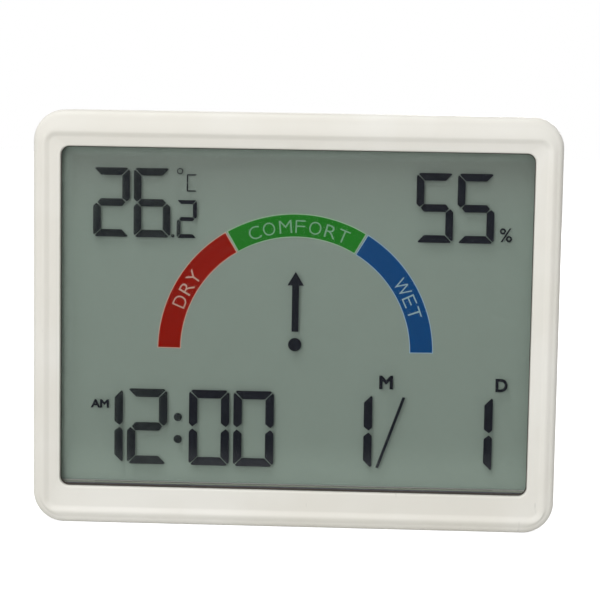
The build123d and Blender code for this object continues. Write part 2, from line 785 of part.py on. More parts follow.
# The digits read 26.2 degrees, 55 percent, 12:00 and 1/1
two, five, six, zero, one = "abdeg", "acdfg", "acdefg", "abcdef", "bc"
lit_outlines = []
for start_x, lit in ((temperature_x, two), (temperature_x + reading_digit_pitch, six),
                     (humidity_x, five), (humidity_x + reading_digit_pitch, five)):
    lit_outlines += digit_outlines(start_x, reading_digit_bottom, reading_digit_width,
                                   reading_digit_height, reading_stroke, lit)
lit_outlines += digit_outlines(tenths_x, reading_digit_bottom, tenths_width, tenths_height,
                               tenths_stroke, two)
lit_outlines += digit_outlines(unit_x, unit_bottom, unit_width, unit_height, unit_stroke, "adef")
for start_x, lit in ((hour_units_x - clock_digit_pitch, one), (hour_units_x, two),
                     (minute_tens_x, zero), (minute_tens_x + clock_digit_pitch, zero)):
    lit_outlines += digit_outlines(start_x, clock_digit_bottom, clock_digit_width,
                                   clock_digit_height, clock_stroke, lit)
for end_x in (month_x, day_x):
    lit_outlines += digit_outlines(end_x - clock_digit_width, date_digit_bottom,
                                   clock_digit_width, date_digit_height, clock_stroke, one)
lit_outlines.append([(slash_foot_x - slash_width / 2, slash_foot_z),
                     (slash_foot_x + slash_width / 2, slash_foot_z),
                     (slash_head_x + slash_width / 2, slash_head_z),
                     (slash_head_x - slash_width / 2, slash_head_z)])
arrow_neck_z = arrow_tip_z - arrow_head_length
lit_outlines.append([(0, arrow_tip_z), (arrow_head_width / 2, arrow_neck_z),
                     (arrow_shaft_width / 2, arrow_neck_z), (arrow_shaft_width / 2, arrow_bottom_z),
                     (-arrow_shaft_width / 2, arrow_bottom_z),
                     (-arrow_shaft_width / 2, arrow_neck_z), (-arrow_head_width / 2, arrow_neck_z)])

with BuildPart() as lit_segments:
    with BuildSketch(display_plane(cell_back_y)):
        for outline in lit_outlines:
            with BuildLine():
                Polyline(*outline, close=True)
            make_face()
        with Locations((colon_x, colon_z - colon_spread / 2),
                       (colon_x, colon_z + colon_spread / 2)):
            Circle(colon_radius)
        with Locations((point_x, point_z)):
            Circle(point_radius)
        with Locations((0, arrow_dot_z)):
            Circle(arrow_dot_radius)
        with Locations((degree_x, degree_z)):
            Circle(degree_radius)
            Circle(degree_radius - degree_line, mode=Mode.SUBTRACT)
        scale(by=artwork_scale)
    extrude(amount=cell_gap)
lit_segments.part.label = "lit_segments"
export_step(lit_segments.part, "parts/lit_segments.step")

# Colour zones, printed on the back of the rear glass as three pieces of one arch
half_turn_angle = 180
zone_inner_radius = zone_outer_radius - zone_band
zone_arcs = {
    "zone_wet": (zone_end_angle, zone_side_angle),
    "zone_comfort": ((half_turn_angle - zone_top_angle) / 2, zone_top_angle),
    "zone_dry": (half_turn_angle - zone_end_angle - zone_side_angle, zone_side_angle),
}
for name, (start_angle, sweep_angle) in zone_arcs.items():
    with BuildPart() as zone:
        with BuildSketch(display_plane(print_back_y)):
            with BuildLine():
                outer = CenterArc((0, zone_centre_z), zone_outer_radius, start_angle, sweep_angle)
                inner = CenterArc((0, zone_centre_z), zone_inner_radius, start_angle, sweep_angle)
                Line(outer @ 0, inner @ 0)
                Line(outer @ 1, inner @ 1)
            make_face()
            scale(by=artwork_scale)
        extrude(amount=print_thickness)
    zone.part.label = name
    export_step(zone.part, f"parts/{name}.step")

with BuildPart() as reflector:
    with BuildSketch(facing(reflector_back_y)):
        with Locations((0, rear_glass_z)):
            Rectangle(glass_width, rear_glass_height)
    extrude(amount=reflector_thickness)
reflector.part.label = "reflector"
export_step(reflector.part, "parts/reflector.step")

# Retainer that clamps the display, notched at its foot for the contact strip
with BuildPart() as lcd_retainer:
    with BuildSketch(facing(retainer_back_y)):
        with Locations((0, window_z)):
            Rectangle(glass_width, glass_height)
        with Locations(board_head_places):
            Circle(tab_radius)
            with Locations((0, -board_screw_inset / 2)):
                Rectangle(2 * tab_radius, board_screw_inset)
            Circle(shank_hole_radius, mode=Mode.SUBTRACT)
        with Locations((0, rear_glass_z)):
            Rectangle(glass_width - 2 * retainer_bar, rear_glass_height - 2 * retainer_bar,
                      mode=Mode.SUBTRACT)
        with Locations((0, strip_z - strip_margin / 2)):
            Rectangle(strip_length + 2 * strip_fit, strip_width + 2 * strip_fit + strip_margin,
                      mode=Mode.SUBTRACT)
    extrude(amount=retainer_thickness)
lcd_retainer.part.label = "lcd_retainer"
export_step(lcd_retainer.part, "parts/lcd_retainer.step")

# Contact strip between the display's ledge and the board
with BuildPart() as contact_strip:
    with BuildSketch(facing(retainer_back_y)):
        with Locations((0, strip_z)):
            Rectangle(strip_length, strip_width)
    extrude(amount=retainer_back_y - front_glass_back_y)
contact_strip.part.label = "contact_strip"
export_step(contact_strip.part, "parts/contact_strip.step")

# Circuit board: a strip along the foot and a column behind the buttons
with BuildPart() as circuit_board:
    column_x = (board_column_width - board_strip_width) / 2
    tab_places = [*board_foot_places, board_head_places[0]]
    with BuildSketch(facing(board_back_y)):
        with Locations((0, board_bottom_z + board_strip_height / 2)):
            Rectangle(board_strip_width, board_strip_height)
        with Locations((column_x, mid_z)):
            Rectangle(board_column_width, board_top_z - board_bottom_z)
        with Locations(tab_places):
            Circle(tab_radius)
        with Locations([(x, z + board_screw_inset / 2) for x, z in board_foot_places]):
            Rectangle(2 * tab_radius, board_screw_inset)
        with Locations([(x, z - board_screw_inset / 2) for x, z in board_head_places[:1]]):
            Rectangle(2 * tab_radius, board_screw_inset)
        with Locations(tab_places):
            Circle(shank_hole_radius, mode=Mode.SUBTRACT)
    extrude(amount=board_thickness)
circuit_board.part.label = "circuit_board"
export_step(circuit_board.part, "parts/circuit_board.step")

# Parts on the board, which stand on its back face: in its sketches X runs to the left
board_face = Plane(origin=(0, board_back_y, 0), x_dir=(-1, 0, 0), z_dir=(0, 1, 0))
crystal_x = crystal_x_share * case_width
bead_x = bead_x_share * case_width

with BuildPart() as controller_chip:
    with BuildSketch(board_face):
        with Locations((chip_x_share * case_width, chip_z_share * case_height)):
            Circle(chip_radius)
    extrude(amount=chip_height)
    chamfer(controller_chip.faces().sort_by(Axis.Y)[-1].edges(), chip_shoulder, chip_slope)
controller_chip.part.label = "controller_chip"
export_step(controller_chip.part, "parts/controller_chip.step")

with BuildPart() as quartz_crystal:
    with BuildSketch(board_face):
        with Locations((crystal_x, crystal_z_share * case_height)):
            Circle(crystal_radius)
    extrude(amount=crystal_length)
    chamfer(quartz_crystal.faces().sort_by(Axis.Y)[-1].edges(), crystal_edge_bevel)
quartz_crystal.part.label = "quartz_crystal"
export_step(quartz_crystal.part, "parts/quartz_crystal.step")

with BuildPart() as capacitors:
    with BuildSketch(board_face):
        with Locations([(crystal_x, capacitor_z_share * case_height + i * capacitor_pitch)
                        for i in range(capacitor_count)]):
            Circle(capacitor_radius)
    extrude(amount=capacitor_height)
    chamfer(capacitors.edges().group_by(Axis.Y)[-1], capacitor_edge_bevel)
capacitors.part.label = "capacitors"
export_step(capacitors.part, "parts/capacitors.step")

with BuildPart() as humidity_sensor:
    with BuildSketch(board_face):
        with Locations((-button_x, vent_z)):
            Rectangle(sensor_width, sensor_length)
    extrude(amount=sensor_height)
    with BuildSketch(board_face.offset(sensor_height)):
        with Locations((-button_x, vent_z)):
            with GridLocations(sensor_hole_pitch, sensor_hole_pitch, 3, 2):
                Rectangle(sensor_hole_width, sensor_hole_height)
    extrude(amount=-sensor_hole_depth, mode=Mode.SUBTRACT)
humidity_sensor.part.label = "humidity_sensor"
export_step(humidity_sensor.part, "parts/humidity_sensor.step")

with BuildPart() as thermistor:
    with BuildSketch(board_face):
        with Locations((bead_x - bead_leg_spread / 2, vent_z),
                       (bead_x + bead_leg_spread / 2, vent_z)):
            Rectangle(bead_leg_width, bead_leg_width)
    extrude(amount=bead_stand_off)
    with BuildSketch(board_face.offset(bead_stand_off)):
        with Locations((bead_x, vent_z)):
            Circle(bead_radius)
    extrude(amount=bead_length)
    chamfer(thermistor.edges().filter_by(GeomType.CIRCLE).sort_by(SortBy.RADIUS)[-2:], bead_bevel)
thermistor.part.label = "thermistor"
export_step(thermistor.part, "parts/thermistor.step")

# Two dry cells side by side, one each way up
cell_bases = {
    "battery_left": (left_cell_x, bay_bottom_z + contact_thickness + spring_height, 1),
    "battery_right": (right_cell_x, bay_bottom_z + contact_thickness + cell_length, -1),
}
for name, (cell_x, base_z, upward) in cell_bases.items():
    can_length = cell_length - cell_cap_height
    with BuildPart(Plane(origin=(cell_x, cell_y, base_z), z_dir=(0, 0, upward))) as cell:
        Cylinder(cell_radius, can_length, align=(Align.CENTER, Align.CENTER, Align.MIN))
        chamfer(cell.edges().filter_by(GeomType.CIRCLE), cell_edge_bevel)
        with Locations((0, 0, can_length)):
            Cylinder(cell_cap_radius, cell_cap_height,
                     align=(Align.CENTER, Align.CENTER, Align.MIN))
    cell.part.label = name
    export_step(cell.part, f"parts/{name}.step")


def contact_plate(centre_x, z, width):
    """Draw a plate that lies on the bay's end wall, upwards from z, as wide as given."""
    with BuildSketch(Plane.XY.offset(z)) as plate:
        with Locations((centre_x, cell_y)):
            Rectangle(width, contact_width)
    extrude(plate.sketch, amount=contact_thickness)


def contact_tail(centre_x):
    """Draw the tail that passes through the bay's lower wall to the lead."""
    with BuildSketch(Plane.XY.offset(bay_bottom_z)) as tail:
        with Locations((centre_x, tail_y)):
            Rectangle(contact_tail_width, contact_thickness)
    extrude(tail.sketch, amount=tail_end_z - bay_bottom_z)


with BuildPart() as positive_contact:
    contact_plate(right_cell_x, bay_bottom_z, contact_width)
    contact_tail(right_cell_x)
positive_contact.part.label = "positive_contact"
export_step(positive_contact.part, "parts/positive_contact.step")


def contact_spring(centre_x, plate_z, upward):
    """Wind a conical spring that stands on a plate and narrows towards the cell."""
    seat = spring_seat_share * spring_wire_radius
    rise = spring_height - seat - spring_wire_radius
    steps = spring_turns * spring_turn_steps
    points = []
    for i in range(steps + 1):
        share = i / steps
        radius = spring_large_radius + (spring_small_radius - spring_large_radius) * share
        angle = 2 * pi * spring_turns * share
        points.append((centre_x + radius * cos(angle), cell_y + radius * sin(angle),
                       plate_z + upward * (seat + rise * share)))
    with BuildLine() as coil:
        Polyline(*points)
    with BuildSketch(Plane(coil.line @ 0, z_dir=coil.line % 0)) as wire:
        RegularPolygon(spring_wire_radius, spring_wire_sides)
    sweep(wire.sketch, path=coil.line, transition=Transition.RIGHT)


with BuildPart() as negative_contact:
    contact_plate(left_cell_x, bay_bottom_z, contact_width)
    contact_tail(left_cell_x)
    contact_spring(left_cell_x, bay_bottom_z + contact_thickness, 1)
negative_contact.part.label = "negative_contact"
export_step(negative_contact.part, "parts/negative_contact.step")

# Link between the cells at the top of the bay, with the second spring on it
with BuildPart() as link_contact:
    contact_plate(bay_x, bay_top_z - contact_thickness, cell_pitch + contact_width)
    contact_spring(right_cell_x, bay_top_z - contact_thickness, -1)
link_contact.part.label = "link_contact"
export_step(link_contact.part, "parts/link_contact.step")

# Leads from the contacts' tails to the board, each with one bend as large as its runs allow
lead_turn_radius = lead_turn_share * min(tail_y - board_back_y, tail_end_z - lead_end_z)
for name, lead_x in (("lead_negative", left_cell_x), ("lead_positive", right_cell_x)):
    with BuildPart() as lead:
        with BuildLine(Plane.YZ.offset(lead_x)) as route:
            FilletPolyline((tail_y, tail_end_z), (tail_y, lead_end_z),
                           (board_back_y, lead_end_z), radius=lead_turn_radius)
        with BuildSketch(Plane(route.line @ 0, z_dir=route.line % 0)):
            RegularPolygon(lead_radius, lead_sides)
        sweep(path=route.line)
    lead.part.label = name
    export_step(lead.part, f"parts/{name}.step")

# Screws: four through the board and retainer tabs, four through the rear cover's posts
with BuildPart() as board_screws:
    screw_seats = [(place, board_back_y) for place in [*board_foot_places, board_head_places[0]]]
    screw_seats.append((board_head_places[1], retainer_back_y))
    for (screw_x, screw_z), seat_y in screw_seats:
        with Locations(Location((screw_x, seat_y, screw_z), (-90, 0, 0))):
            Cylinder(board_head_radius, board_head_height,
                     align=(Align.CENTER, Align.CENTER, Align.MIN))
            Cylinder(shank_radius, board_screw_length,
                     align=(Align.CENTER, Align.CENTER, Align.MAX))
board_screws.part.label = "board_screws"
export_step(board_screws.part, "parts/board_screws.step")

with BuildPart() as case_screws:
    with Locations([Location((x, back_y - case_screw_seat_depth, z), (-90, 0, 0))
                    for x, z in case_screw_places]):
        Cylinder(head_radius, head_height, align=(Align.CENTER, Align.CENTER, Align.MIN))
    chamfer(case_screws.edges().group_by(Axis.Y)[-1], head_edge_bevel)
    with Locations([Location((x, back_y - case_screw_seat_depth, z), (-90, 0, 0))
                    for x, z in case_screw_places]):
        Cylinder(shank_radius, case_screw_length, align=(Align.CENTER, Align.CENTER, Align.MAX))
case_screws.part.label = "case_screws"
export_step(case_screws.part, "parts/case_screws.step")
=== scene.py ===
"""Looks of a thermometer hygrometer clock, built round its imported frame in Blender 4.5.

Lengths are in metres. X runs to the right of the front view, Y to the back and Z up.
"""
from collections import namedtuple
from math import cos, pi, radians, sin

import bmesh
import bpy
from bpy.props import FloatProperty, FloatVectorProperty, IntProperty, PointerProperty
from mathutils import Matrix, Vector


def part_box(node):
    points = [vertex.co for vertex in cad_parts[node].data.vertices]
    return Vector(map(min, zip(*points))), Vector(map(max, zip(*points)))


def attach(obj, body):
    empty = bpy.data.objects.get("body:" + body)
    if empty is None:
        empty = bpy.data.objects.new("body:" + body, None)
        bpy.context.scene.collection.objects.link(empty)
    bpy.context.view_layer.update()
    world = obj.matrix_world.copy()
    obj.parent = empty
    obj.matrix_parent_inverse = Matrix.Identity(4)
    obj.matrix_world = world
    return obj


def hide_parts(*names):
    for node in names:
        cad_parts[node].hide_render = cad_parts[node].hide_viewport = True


bl_info = {
    "name": "Thermometer hygrometer clock",
    "version": (1, 0, 0),
    "blender": (4, 5, 0),
    "location": "View3D > Sidebar > Clock",
    "description": "Dresses the packed frame of a desk clock: its case, display, back and board",
    "category": "Object",
}

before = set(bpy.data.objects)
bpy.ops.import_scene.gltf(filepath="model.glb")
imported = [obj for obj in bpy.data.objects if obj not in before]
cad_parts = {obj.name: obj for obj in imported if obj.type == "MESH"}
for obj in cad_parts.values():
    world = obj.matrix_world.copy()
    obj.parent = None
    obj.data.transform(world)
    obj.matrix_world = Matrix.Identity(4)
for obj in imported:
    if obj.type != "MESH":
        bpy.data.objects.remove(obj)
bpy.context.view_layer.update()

MM = 0.001
FACING_FRONT = (pi / 2, 0, 0)
FACING_UP = (0, 0, 0)

# Places that several pieces share, read from the frame
FRAME_LOW, FRAME_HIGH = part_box("front_frame")
COVER_LOW, COVER_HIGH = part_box("rear_cover")
GLASS_LOW, GLASS_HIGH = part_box("front_glass")
CASE_LOW = Vector(map(min, FRAME_LOW, COVER_LOW))
CASE_HIGH = Vector(map(max, FRAME_HIGH, COVER_HIGH))
CASE_WIDTH = CASE_HIGH.x - CASE_LOW.x
CASE_HEIGHT = CASE_HIGH.z - CASE_LOW.z
CASE_MIDDLE = (CASE_LOW.z + CASE_HIGH.z) / 2
FRAME_FRONT, FRAME_BACK = FRAME_LOW.y, FRAME_HIGH.y
POLARISER_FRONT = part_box("front_polariser")[0].y
CELL_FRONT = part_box("lit_segments")[0].y
PRINT_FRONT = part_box("zone_comfort")[0].y
WINDOW_MIDDLE = (GLASS_LOW.z + GLASS_HIGH.z) / 2

# The radius and height of each kind of screw's head, the radius of its shank, and the radius
# and length of the boss that takes it
Screw = namedtuple("Screw", "head height shank boss reach")
SCREWS = {"case_screws": Screw(1.75 * MM, 1.3 * MM, 0.8 * MM, 2.2 * MM, 4.6 * MM),
          "board_screws": Screw(1.5 * MM, 1.0 * MM, 0.8 * MM, 1.9 * MM, 2.8 * MM)}

# Points of a CAD node that are this near, in metres, are one point
SAME_POINT = 2e-6


def srgb(red, green, blue):
    """Give the linear colour of one written as 0 to 255 on a screen."""
    shares = (value / 255 for value in (red, green, blue))
    return tuple(s / 12.92 if s <= 0.04045 else ((s + 0.055) / 1.055) ** 2.4 for s in shares)


def measure(name, description, millimetres):
    """Describe a length that a user may change."""
    return FloatProperty(name=name, description=description, default=millimetres * MM,
                         unit="LENGTH")


def tint(name, description, *levels):
    """Describe a colour that a user may change, written as 0 to 255 on a screen."""
    return FloatVectorProperty(name=name, description=description, default=srgb(*levels),
                               subtype="COLOR", min=0, max=1)


def standpoint(name, description, *place):
    """Describe where a lamp or the camera stands, in metres."""
    return FloatVectorProperty(name=name, description=description, default=place,
                               subtype="XYZ", unit="LENGTH")


def power(name, description, watts):
    """Describe the power of a lamp."""
    return FloatProperty(name=name, description=description, default=watts, min=0, max=100)


class StageSettings(bpy.types.PropertyGroup):
    """Camera, floor and lamps."""

    camera_place: standpoint("Camera place", "Where the camera stands",
                             0.01983, -0.46722, 0.10688)
    camera_turn: FloatVectorProperty(
        name="Camera turn", description="How the camera is turned about X, Y and Z",
        default=(radians(83.816), radians(-0.926), radians(2.424)), subtype="EULER")
    camera_lens: FloatProperty(
        name="Lens", description="Focal length in millimetres on a 36 mm sensor",
        default=112.2, min=20, max=300)
    floor_colour: tint("Floor", "Colour of the floor", 188, 188, 186)
    floor_size: FloatProperty(
        name="Floor size", description="Side of the square floor", default=6.0, unit="LENGTH")
    sky_strength: FloatProperty(
        name="Sky", description="Strength of the even light from all round",
        default=0.22, min=0, max=3)
    floor_glow: FloatProperty(
        name="Floor glow", description="White that the camera sees on the floor",
        default=0.9, min=0, max=1)
    lamp_size: FloatProperty(
        name="Lamp size", description="Side of each square lamp", default=0.6, unit="LENGTH")
    key_place: standpoint("Key lamp place", "Where the large lamp above the case stands",
                          -0.25, -0.42, 0.98)
    fill_place: standpoint("Fill lamp place", "Where the lamp before the case stands",
                           -0.2, -1.0, 0.32)
    back_place: standpoint("Back lamp place", "Where the lamp behind the case stands",
                           0.35, 1.0, 0.5)
    key_power: power("Key lamp", "Power of the lamp above the case, in watts", 5.4)
    fill_power: power("Fill lamp", "Power of the lamp before the case, in watts", 4.8)
    back_power: power("Back lamp", "Power of the lamp behind the case, in watts", 6.5)


class CaseSettings(bpy.types.PropertyGroup):
    """Moulded case: its rim, edges and plastic."""

    colour: tint("Case colour", "Cream of the moulded case", 236, 234, 227)
    shade: tint("Case shade", "Slightly darker cream that clouds the case", 230, 227, 218)
    corner: measure("Corner", "Radius of the case's corners", 7.7)
    front_edge: measure("Front edge", "Radius of the edge round the front", 1.5)
    end_edge: measure("End edge", "Width of the longer rounding along the top", 2.2)
    crown_sag: measure("Crown sag", "How far the crown falls towards its outer edge", 0.32)
    land_fall: measure("Land fall", "How far the land falls towards the window", 0.2)
    side_margin: measure("Side margin", "From the case's side to the step in the rim", 3.5)
    end_margin: measure("End margin", "From the case's top to the step in the rim", 6.0)
    foot_margin: measure("Foot margin", "From the case's foot to the step in the rim", 3.6)
    step_corner: measure("Step corner", "Corner radius of the step", 2.4)
    step_depth: measure("Step depth", "How far the land lies below the crown", 0.5)
    step_spread: measure("Step spread", "Width over which the soft step falls", 1.7)
    window_width: measure("Window width", "Width of the opening over the display", 116.5)
    window_height: measure("Window height", "Height of the opening over the display", 84.9)
    window_corner: measure("Window corner", "Corner radius of the opening", 2.2)
    window_edge: measure("Window edge", "Radius of the opening's edge", 0.4)
    wall: measure("Wall", "Thickness of the case's side walls", 2.0)
    corner_steps: IntProperty(
        name="Corner steps", description="Faces round each corner", default=14, min=2, max=32)


class DisplaySettings(bpy.types.PropertyGroup):
    """Segment display: its ground, segments, zones and letters."""

    ground: tint("Ground", "Grey-green of the display's reflector", 126, 139, 130)
    # Painted shade: the reflector's ground turns to this darker tone towards the top
    ground_edge: tint("Ground edge", "Darker tone towards the top", 120, 128, 121)
    segment: tint("Segment", "Near black of the lit segments", 27, 29, 35)
    letter_height: measure("Letter height", "Height of the capitals on the arch", 3.2)
    letter_radius: measure("Letter radius", "From the arch's centre to the letters' feet", 29.6)
    arch_centre: measure("Arch centre", "Height of the arch's centre above the window's", -7.81)
    outline: measure("Zone outline", "Width of the pale line round each zone", 0.16)


def settings(name):
    """Give one of the scene's property groups."""
    return getattr(bpy.context.scene, name)


def screw_places(node):
    """Give the X and Z of each screw in a node, from the corners of the node's box."""
    low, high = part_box(node)
    radius = SCREWS[node].head
    return [(x, z) for x in (low.x + radius, high.x - radius)
            for z in (low.z + radius, high.z - radius)]


# Selecting and shaping


def rest():
    """Leave edit mode and select nothing."""
    if bpy.context.object and bpy.context.object.mode != "OBJECT":
        bpy.ops.object.mode_set(mode="OBJECT")
    bpy.ops.object.select_all(action="DESELECT")


def choose(piece):
    """Make a piece the only one selected, and the active one."""
    rest()
    piece.select_set(True)
    bpy.context.view_layer.objects.active = piece


def open_whole(piece):
    """Put a piece into edit mode with all of it selected."""
    choose(piece)
    bpy.ops.object.mode_set(mode="EDIT")
    bpy.ops.mesh.select_all(action="SELECT")


def settle_place(piece):
    """Move a piece's place, turn and size into its mesh."""
    choose(piece)
    bpy.ops.object.transform_apply()


def pick_points(piece, wanted):
    """Select the points of the piece in edit mode that the test wants."""
    mesh = bmesh.from_edit_mesh(piece.data)
    for face in mesh.faces:
        face.select_set(False)
    for edge in mesh.edges:
        edge.select_set(False)
    for point in mesh.verts:
        point.select_set(bool(wanted(point)))
    mesh.select_flush_mode()
    bmesh.update_edit_mesh(piece.data)


def empty_piece(name):
    """Add a plane, name it and clear its mesh, ready for outlines in edit mode."""
    rest()
    bpy.ops.mesh.primitive_plane_add(size=1)
    piece = bpy.context.object
    piece.name = name
    open_whole(piece)
    bpy.ops.mesh.delete(type="VERT")
    return piece


def apart(outlines, turn, ring):
    """Move outlines that share a plane apart by the little that bridging needs to pair them."""
    axis = {FACING_FRONT: 1, FACING_UP: 2}[turn]
    least = 0.012 * MM
    moved = [(*size, Vector(place)) for *size, place in outlines]
    middle = sum(outline[3][axis] for outline in moved) / len(moved)
    for i, outline in enumerate(moved):
        before = moved[i - 1]
        if (i or ring) and abs(outline[3][axis] - before[3][axis]) < least:
            late = outline if i else before
            early = before if i else outline
            late[3][axis] = early[3][axis] + (least if early[3][axis] < middle else -least)
    return moved


def skin(name, outlines, turn=FACING_FRONT, steps=6, ring=False):
    """Bridge outlines into a closed piece.

    Each outline is its width, its height, its corner radius and the place of its middle. One
    that is twice its corner radius both ways is a circle, and the others face the front. The
    ends are filled, or joined to each other where the piece is a ring.
    """
    piece = empty_piece(name)
    count = 4 * (steps + 1)
    for width, height, corner, place in apart(outlines, turn, ring):
        if width == height == 2 * corner:
            bpy.ops.mesh.primitive_circle_add(vertices=count, radius=corner, location=place,
                                              rotation=turn)
            continue
        bpy.ops.mesh.primitive_plane_add(size=1, location=place, rotation=turn)
        bpy.ops.transform.resize(value=(width, 1, height), center_override=place)
        bpy.ops.mesh.bevel(offset=corner, segments=steps, affect="VERTICES", clamp_overlap=False)
        bpy.ops.mesh.delete(type="ONLY_FACE")
    last = len(outlines) - 1
    for i in range(last):
        pick_points(piece, lambda point: i * count <= point.index < (i + 2) * count)
        bpy.ops.mesh.bridge_edge_loops()
    if ring:
        pick_points(piece, lambda point: point.index < count or point.index >= last * count)
        bpy.ops.mesh.bridge_edge_loops()
    else:
        for end in (0, last):
            pick_points(piece, lambda point: end * count <= point.index < (end + 1) * count)
            bpy.ops.mesh.edge_face_add()
    bpy.ops.mesh.select_all(action="SELECT")
    bpy.ops.mesh.normals_make_consistent(inside=False)
    bpy.ops.object.mode_set(mode="OBJECT")
    return piece


def turned(name, radii, place, along, steps=5, ring=False):
    """Skin circles along an axis: each is a radius and its distance from place."""
    turn = {"Y": FACING_FRONT, "Z": FACING_UP}[along]
    way = Vector([float(along == axis) for axis in "XYZ"])
    return skin(name, [(2 * radius, 2 * radius, radius, tuple(Vector(place) + way * distance))
                       for radius, distance in radii], turn, steps, ring)


def smooth(piece, angle=32):
    """Shade rounded faces smooth, and weight the normals so that flat faces stay flat."""
    choose(piece)
    bpy.ops.object.shade_smooth_by_angle(angle=radians(angle))
    weight = piece.modifiers.new("Weighted normals", "WEIGHTED_NORMAL")
    weight.keep_sharp = True
    bpy.ops.object.modifier_apply(modifier=weight.name)
    return piece


def cut(piece, tool):
    """Cut one piece out of another and remove the tool."""
    choose(piece)
    knife = piece.modifiers.new("Cut", "BOOLEAN")
    knife.operation, knife.object, knife.solver = "DIFFERENCE", tool, "EXACT"
    bpy.ops.object.modifier_apply(modifier=knife.name)
    bpy.data.objects.remove(tool)


def join(name, pieces):
    """Join pieces into the first of them."""
    rest()
    for piece in pieces:
        piece.select_set(True)
    bpy.context.view_layer.objects.active = pieces[0]
    if len(pieces) > 1:
        bpy.ops.object.join()
    pieces[0].name = name
    return pieces[0]


def merged_copy(node, name, angle=32):
    """Copy a CAD node's triangles, merge them and shade the rounded faces smooth."""
    piece = bpy.data.objects.new(name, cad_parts[node].data.copy())
    bpy.context.scene.collection.objects.link(piece)
    open_whole(piece)
    bpy.ops.mesh.remove_doubles(threshold=SAME_POINT)
    bpy.ops.mesh.dissolve_limited(angle_limit=radians(0.2))
    bpy.ops.object.mode_set(mode="OBJECT")
    return smooth(piece, angle)


def settle(piece, body, material, nodes=()):
    """Give a finished piece its material, its body and the nodes that it replaces."""
    piece.data.materials.clear()
    piece.data.materials.append(material)
    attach(piece, body)
    if nodes:
        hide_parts(*nodes)


def finish_copy(node, ending, body, material, angle=32):
    """Replace a CAD node with its smoothed copy."""
    settle(merged_copy(node, f"{node}_{ending}", angle), body, material, [node])


def dress(node, material):
    """Give a CAD node that stays its material."""
    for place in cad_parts[node].material_slots:
        place.material = material


# Shader node groups that the materials share


def group(name, inputs, outputs):
    """Start a shader node group with named sockets."""
    tree = bpy.data.node_groups.new(name, "ShaderNodeTree")
    for label, kind, default in inputs:
        socket = tree.interface.new_socket(label, in_out="INPUT", socket_type=kind)
        socket.default_value = default
    for label, kind in outputs:
        tree.interface.new_socket(label, in_out="OUTPUT", socket_type=kind)
    return tree, tree.nodes.new("NodeGroupInput"), tree.nodes.new("NodeGroupOutput")


def feed(tree, node, inputs):
    """Fill a node's inputs with values or with other nodes' sockets."""
    for key, value in inputs.items():
        if isinstance(value, bpy.types.NodeSocket):
            tree.links.new(value, node.inputs[key])
        else:
            node.inputs[key].default_value = value


def add(tree, kind, inputs, **properties):
    """Add a node, set its properties and fill its inputs."""
    node = tree.nodes.new(kind)
    for key, value in properties.items():
        setattr(node, key, value)
    feed(tree, node, inputs)
    return node


def colour_mix(tree, share, first, second):
    """Mix two colours by a share and give the result's socket."""
    return add(tree, "ShaderNodeMix", {0: share, 6: first, 7: second},
               data_type="RGBA").outputs[2]


def maths(tree, operation, first, second):
    """Do one sum on values or sockets and give the result's socket."""
    return add(tree, "ShaderNodeMath", {0: first, 1: second}, operation=operation).outputs[0]


def ramp(tree, value, low, high):
    """Spread a value from low to high over 0 to 1."""
    return add(tree, "ShaderNodeMapRange", {"Value": value, "From Min": low, "From Max": high},
               interpolation_type="SMOOTHSTEP").outputs["Result"]


def product(tree, *factors):
    """Multiply values or sockets and give the result's socket."""
    result = factors[0]
    for factor in factors[1:]:
        result = maths(tree, "MULTIPLY", result, factor)
    return result


def object_place(tree):
    """Give the socket of the Object coordinates."""
    return tree.nodes.new("ShaderNodeTexCoord").outputs["Object"]


def parts(tree, vector):
    """Give the X, Y and Z of a vector's socket."""
    return add(tree, "ShaderNodeSeparateXYZ", {0: vector}).outputs


def stretched(tree, *scale):
    """Give Object coordinates that are scaled differently along X, Y and Z."""
    return add(tree, "ShaderNodeMapping",
               {"Vector": object_place(tree), "Scale": scale}).outputs[0]


def noise(tree, scale, detail, vector=None):
    """Give the value of a noise, on Object coordinates where no others are given."""
    return add(tree, "ShaderNodeTexNoise",
               {"Vector": vector or object_place(tree), "Scale": scale,
                "Detail": detail}).outputs[0]


def patches(tree, scale, detail, low, high):
    """Give 0 to 1 in patches, where a noise rises from low to high."""
    return ramp(tree, noise(tree, scale, detail), low, high)


def bump(tree, height, strength, distance):
    """Give the normal of fine relief."""
    return add(tree, "ShaderNodeBump", {"Strength": strength, "Distance": distance,
                                        "Height": height}).outputs[0]


COLOUR, VALUE, VECTOR = "NodeSocketColor", "NodeSocketFloat", "NodeSocketVector"
BLACK, WHITE = (0, 0, 0, 1), (1, 1, 1, 1)


def toward(tree, given, share, other):
    """Mix the colour that a group is given towards another of its inputs, by a share."""
    return colour_mix(tree, share, given.outputs["Colour"], given.outputs[other])


def make_moulded_group():
    """Build the fine grain, cloudy colour and uneven gloss of moulded plastic."""
    tree, given, out = group(
        "Moulded plastic",
        [("Colour", COLOUR, (0.8, 0.8, 0.8, 1)), ("Shade", COLOUR, (0.7, 0.7, 0.7, 1)),
         ("Grain scale", VALUE, 3500.0), ("Grain height", VALUE, 0.2),
         ("Roughness", VALUE, 0.45)],
        [("Colour", COLOUR), ("Roughness", VALUE), ("Normal", VECTOR)])
    cloud = patches(tree, scale=34.0, detail=3.0, low=0.35, high=0.68)
    speck = noise(tree, given.outputs["Grain scale"], detail=3.0)
    spread = product(tree, maths(tree, "SUBTRACT", speck, 0.5), 0.16)
    feed(tree, out, {
        "Colour": toward(tree, given, cloud, "Shade"),
        "Roughness": maths(tree, "ADD", given.outputs["Roughness"], spread),
        "Normal": bump(tree, speck, given.outputs["Grain height"], distance=0.05 * MM)})
    return tree


